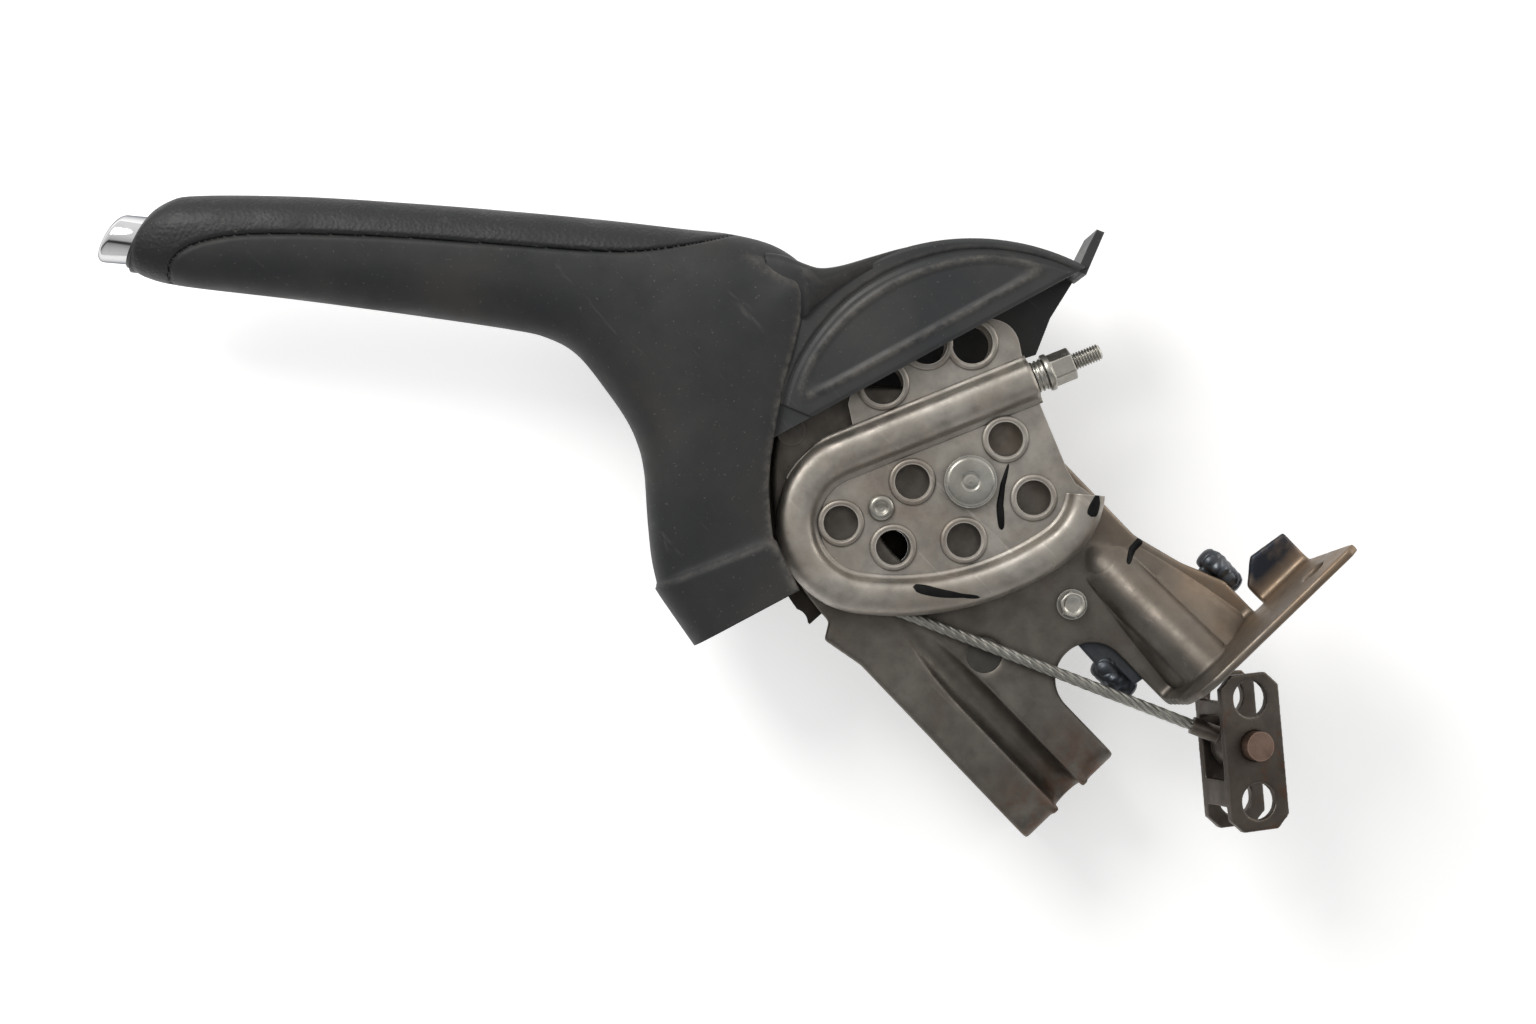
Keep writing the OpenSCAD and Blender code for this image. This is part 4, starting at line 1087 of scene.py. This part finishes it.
def nearest_face(points, covers):
    depsgraph = bpy.context.evaluated_depsgraph_get()
    trees = [BVHTree.FromObject(obj, depsgraph) for obj in covers]
    for row in points.reshape(-1, 3):
        start = Vector(to_row((row[0], -CHEEK_OUT, row[2])))
        hits = [tree.ray_cast(start, Vector((0, 1, 0)))[3] for tree in trees]
        row[1] = -CHEEK_OUT + min(hit for hit in hits if hit is not None) / MM - MARK_LIFT


def paint_mark(name, rows, body):
    obj = open_sheet(name, rows, body)
    add_solidify(obj, MARK_WALL, 0.0)
    dress(obj, mat_paint)


def stroke(name, line, widths, y, body, covers=()):
    line = np.array(line, dtype=float)
    t = np.linspace(0, len(line) - 1, MARK_COUNT)
    fine = np.stack([np.interp(t, np.arange(len(line)), line[:, i]) for i in range(2)], axis=-1)
    half = np.interp(t / t[-1], np.linspace(0, 1, len(widths)), widths) / 2
    half *= np.sqrt(1.0001 - np.abs(2 * t / t[-1] - 1) ** 12)
    tangent = np.gradient(fine, axis=0)
    tangent /= np.linalg.norm(tangent, axis=1, keepdims=True)
    side = np.stack([-tangent[:, 1], tangent[:, 0]], axis=-1) * half[:, None]
    rows = np.stack([fine + side, fine - side], axis=1)
    points = np.stack([rows[..., 0], np.full(rows.shape[:2], y), rows[..., 1]], axis=-1)
    if covers:
        nearest_face(points, covers)
    paint_mark(name, points, body)


def bead_mark(name, start, count, low, high):
    part = []
    for i, row in enumerate(bead_points(path, BEAD_LIFT)[start:start + count]):
        t = i / (count - 1)
        taper = 0.35 + 0.65 * math.sin(math.pi * min(1.0, t + 0.25))
        reach = 1.6 * taper * math.sqrt(1.0001 - abs(2 * t - 1) ** 10)
        middle = low + (high - low) * t
        at = np.clip(np.linspace(middle - reach, middle + reach, 6), 0, len(BEAD_FLARED) - 1.001)
        base = at.astype(int)
        share = (at - base)[:, None]
        part.append(row[base] * (1 - share) + row[base + 1] * share)
    paint_mark(name, part, "lever")


def path_index(u, w):
    return int(np.argmin(np.hypot(path[:, 0] - u, path[:, 1] - w)))


CHEEK_MARK = [(13.2, 6.2), (11.2, -1.0), (10.2, -8), (10.8, -16.5)]
BRACKET_MARK = [(59.5, -19.8), (56.5, -23), (54.5, -28.2)]
stroke("mark_cheek", CHEEK_MARK, [0.8, 1.6, 2.0, 2.6, 2.2], -CHEEK_OUT - FLAT_LIFT, "lever")
stroke("mark_bracket", BRACKET_MARK, [2.6, 2.4, 1.6], -SHEET_FACE - FLAT_LIFT, "bracket",
       [nodes["base_bracket"], leg_bulge])
bead_mark("mark_channel_low", path_index(-20, -39), 22, 7.0, 13.5)
bead_mark("mark_channel_end", path_index(38, -6) - 12, 22, 12.5, 13.0)

# Stage: a pale table under the part, which lies on its far side, with painted light: its glow is brighter to
# the left and washes out the shadows there
SCALE = 2.9
LENS, SENSOR = 58.0, 36.0
WIDTH_PX, HEIGHT_PX = 1536, 1024
PIVOT_PX = (968, 482)
RIGHT = Vector((math.cos(RISE), 0, -math.sin(RISE)))
UP = Vector((math.sin(RISE), 0, math.cos(RISE)))
BACK = Vector((0, -1, 0))
TABLE_Y, TABLE_HALF = 0.0745, 1.6
TABLE_PAINTED_LIGHT, PAINTED_LIGHT_RUN = (0.56, 0.4), 0.1
aim = Vector(to_row([(WIDTH_PX / 2 - PIVOT_PX[0]) / SCALE, 0, (PIVOT_PX[1] - HEIGHT_PX / 2) / SCALE]))


def add_camera():
    data = bpy.data.cameras.new("camera")
    data.lens = LENS
    data.sensor_width = SENSOR
    data.clip_start = 0.01
    camera = add_object("camera", data)
    distance = WIDTH_PX / SCALE * MM * LENS / SENSOR
    place = Matrix((RIGHT, UP, BACK)).transposed().to_4x4()
    place.translation = aim + BACK * distance
    camera.matrix_world = place
    bpy.context.scene.camera = camera


add_camera()


def table_material():
    s = Shader("table_white")
    s.tree.nodes.remove(s.body)
    diffuse = s.new("BsdfDiffuse", Color=s.span(s.noise(3, 2, 0.5), 0.3, 0.7, 0.79, 0.81))
    # Painted light: the glow drops from left to right across the table, so that shadows on its left are
    # washed out
    middle = aim.dot(RIGHT)
    strength = s.span(s.toward(RIGHT), middle - PAINTED_LIGHT_RUN, middle + PAINTED_LIGHT_RUN, *TABLE_PAINTED_LIGHT)
    painted_light = s.new("Emission", Strength=strength, Color=s.mix(s.direct_rays(), (0, 0, 0), (1, 1, 1)))
    both = s.new("AddShader")
    s.link(diffuse.outputs[0], both.inputs[0])
    s.link(painted_light.outputs[0], both.inputs[1])
    behind = s.new("NewGeometry").outputs["Backfacing"]
    s.link(s.blend(behind, both, s.new("BsdfTransparent")), s.out.inputs[0])
    return s.mat


def add_table():
    mesh = bpy.data.meshes.new("table")
    corners = [(-1, -1), (1, -1), (1, 1), (-1, 1)]
    points = [(aim.x + a * TABLE_HALF, TABLE_Y, aim.z + b * TABLE_HALF) for a, b in corners]
    mesh.from_pydata(points, [], [(0, 1, 2, 3)])
    dress(add_object("table", mesh), table_material())


add_table()


def area_light(name, right, up, toward, size, power, colour):
    data = bpy.data.lights.new(name, "AREA")
    data.shape = "DISK"
    data.size = size
    data.energy = power
    data.color = colour
    lamp = add_object(name, data)
    place = aim + RIGHT * right + UP * up + BACK * toward
    lamp.matrix_world = Matrix.Translation(place) @ (place - aim).to_track_quat("Z", "Y").to_matrix().to_4x4()


area_light("key", right=-0.55, up=0.75, toward=0.85, size=0.6, power=8.5, colour=(1.0, 0.985, 0.96))
area_light("rim", right=0.8, up=0.35, toward=0.25, size=0.5, power=1.4, colour=(1.0, 0.97, 0.92))

# World: even light on the object, white for the camera, and a pale studio with one dark strip for reflections
AMBIENT = 0.55
BEHIND_CAMERA = 0.8
STUDIO = [(0.0, 0.8), (0.2, 0.6), (0.31, 0.4), (0.35, 0.06), (0.41, 0.06), (0.46, 0.66), (0.62, 0.94),
          (0.9, 1.0)]


def studio_world():
    world = bpy.data.worlds.new("studio")
    bpy.context.scene.world = world
    s = Nodes(world, "Generated")
    ambient = s.new("Background", Color=(1, 1, 1, 1), Strength=AMBIENT)
    ramp = s.new("ValToRGB", Fac=s.math("ADD", s.times(s.toward(UP), 0.5), 0.5))
    while len(ramp.color_ramp.elements) < len(STUDIO):
        ramp.color_ramp.elements.new(0.5)
    for element, (place, tone) in zip(ramp.color_ramp.elements, STUDIO):
        element.position = place
        element.color = (tone, tone, tone, 1.0)
    studio = s.times(s.span(s.axis(1), -0.95, -0.2, BEHIND_CAMERA, 1.0), ramp.outputs[0])
    tone = s.math("MAXIMUM", s.new("LightPath").outputs["Is Camera Ray"], studio)
    seen = s.new("Background", Color=tone, Strength=1.0)
    s.link(s.blend(s.direct_rays(), ambient, seen), s.new("OutputWorld").inputs[0])


studio_world()

bpy.context.scene.view_settings.view_transform = "Standard"
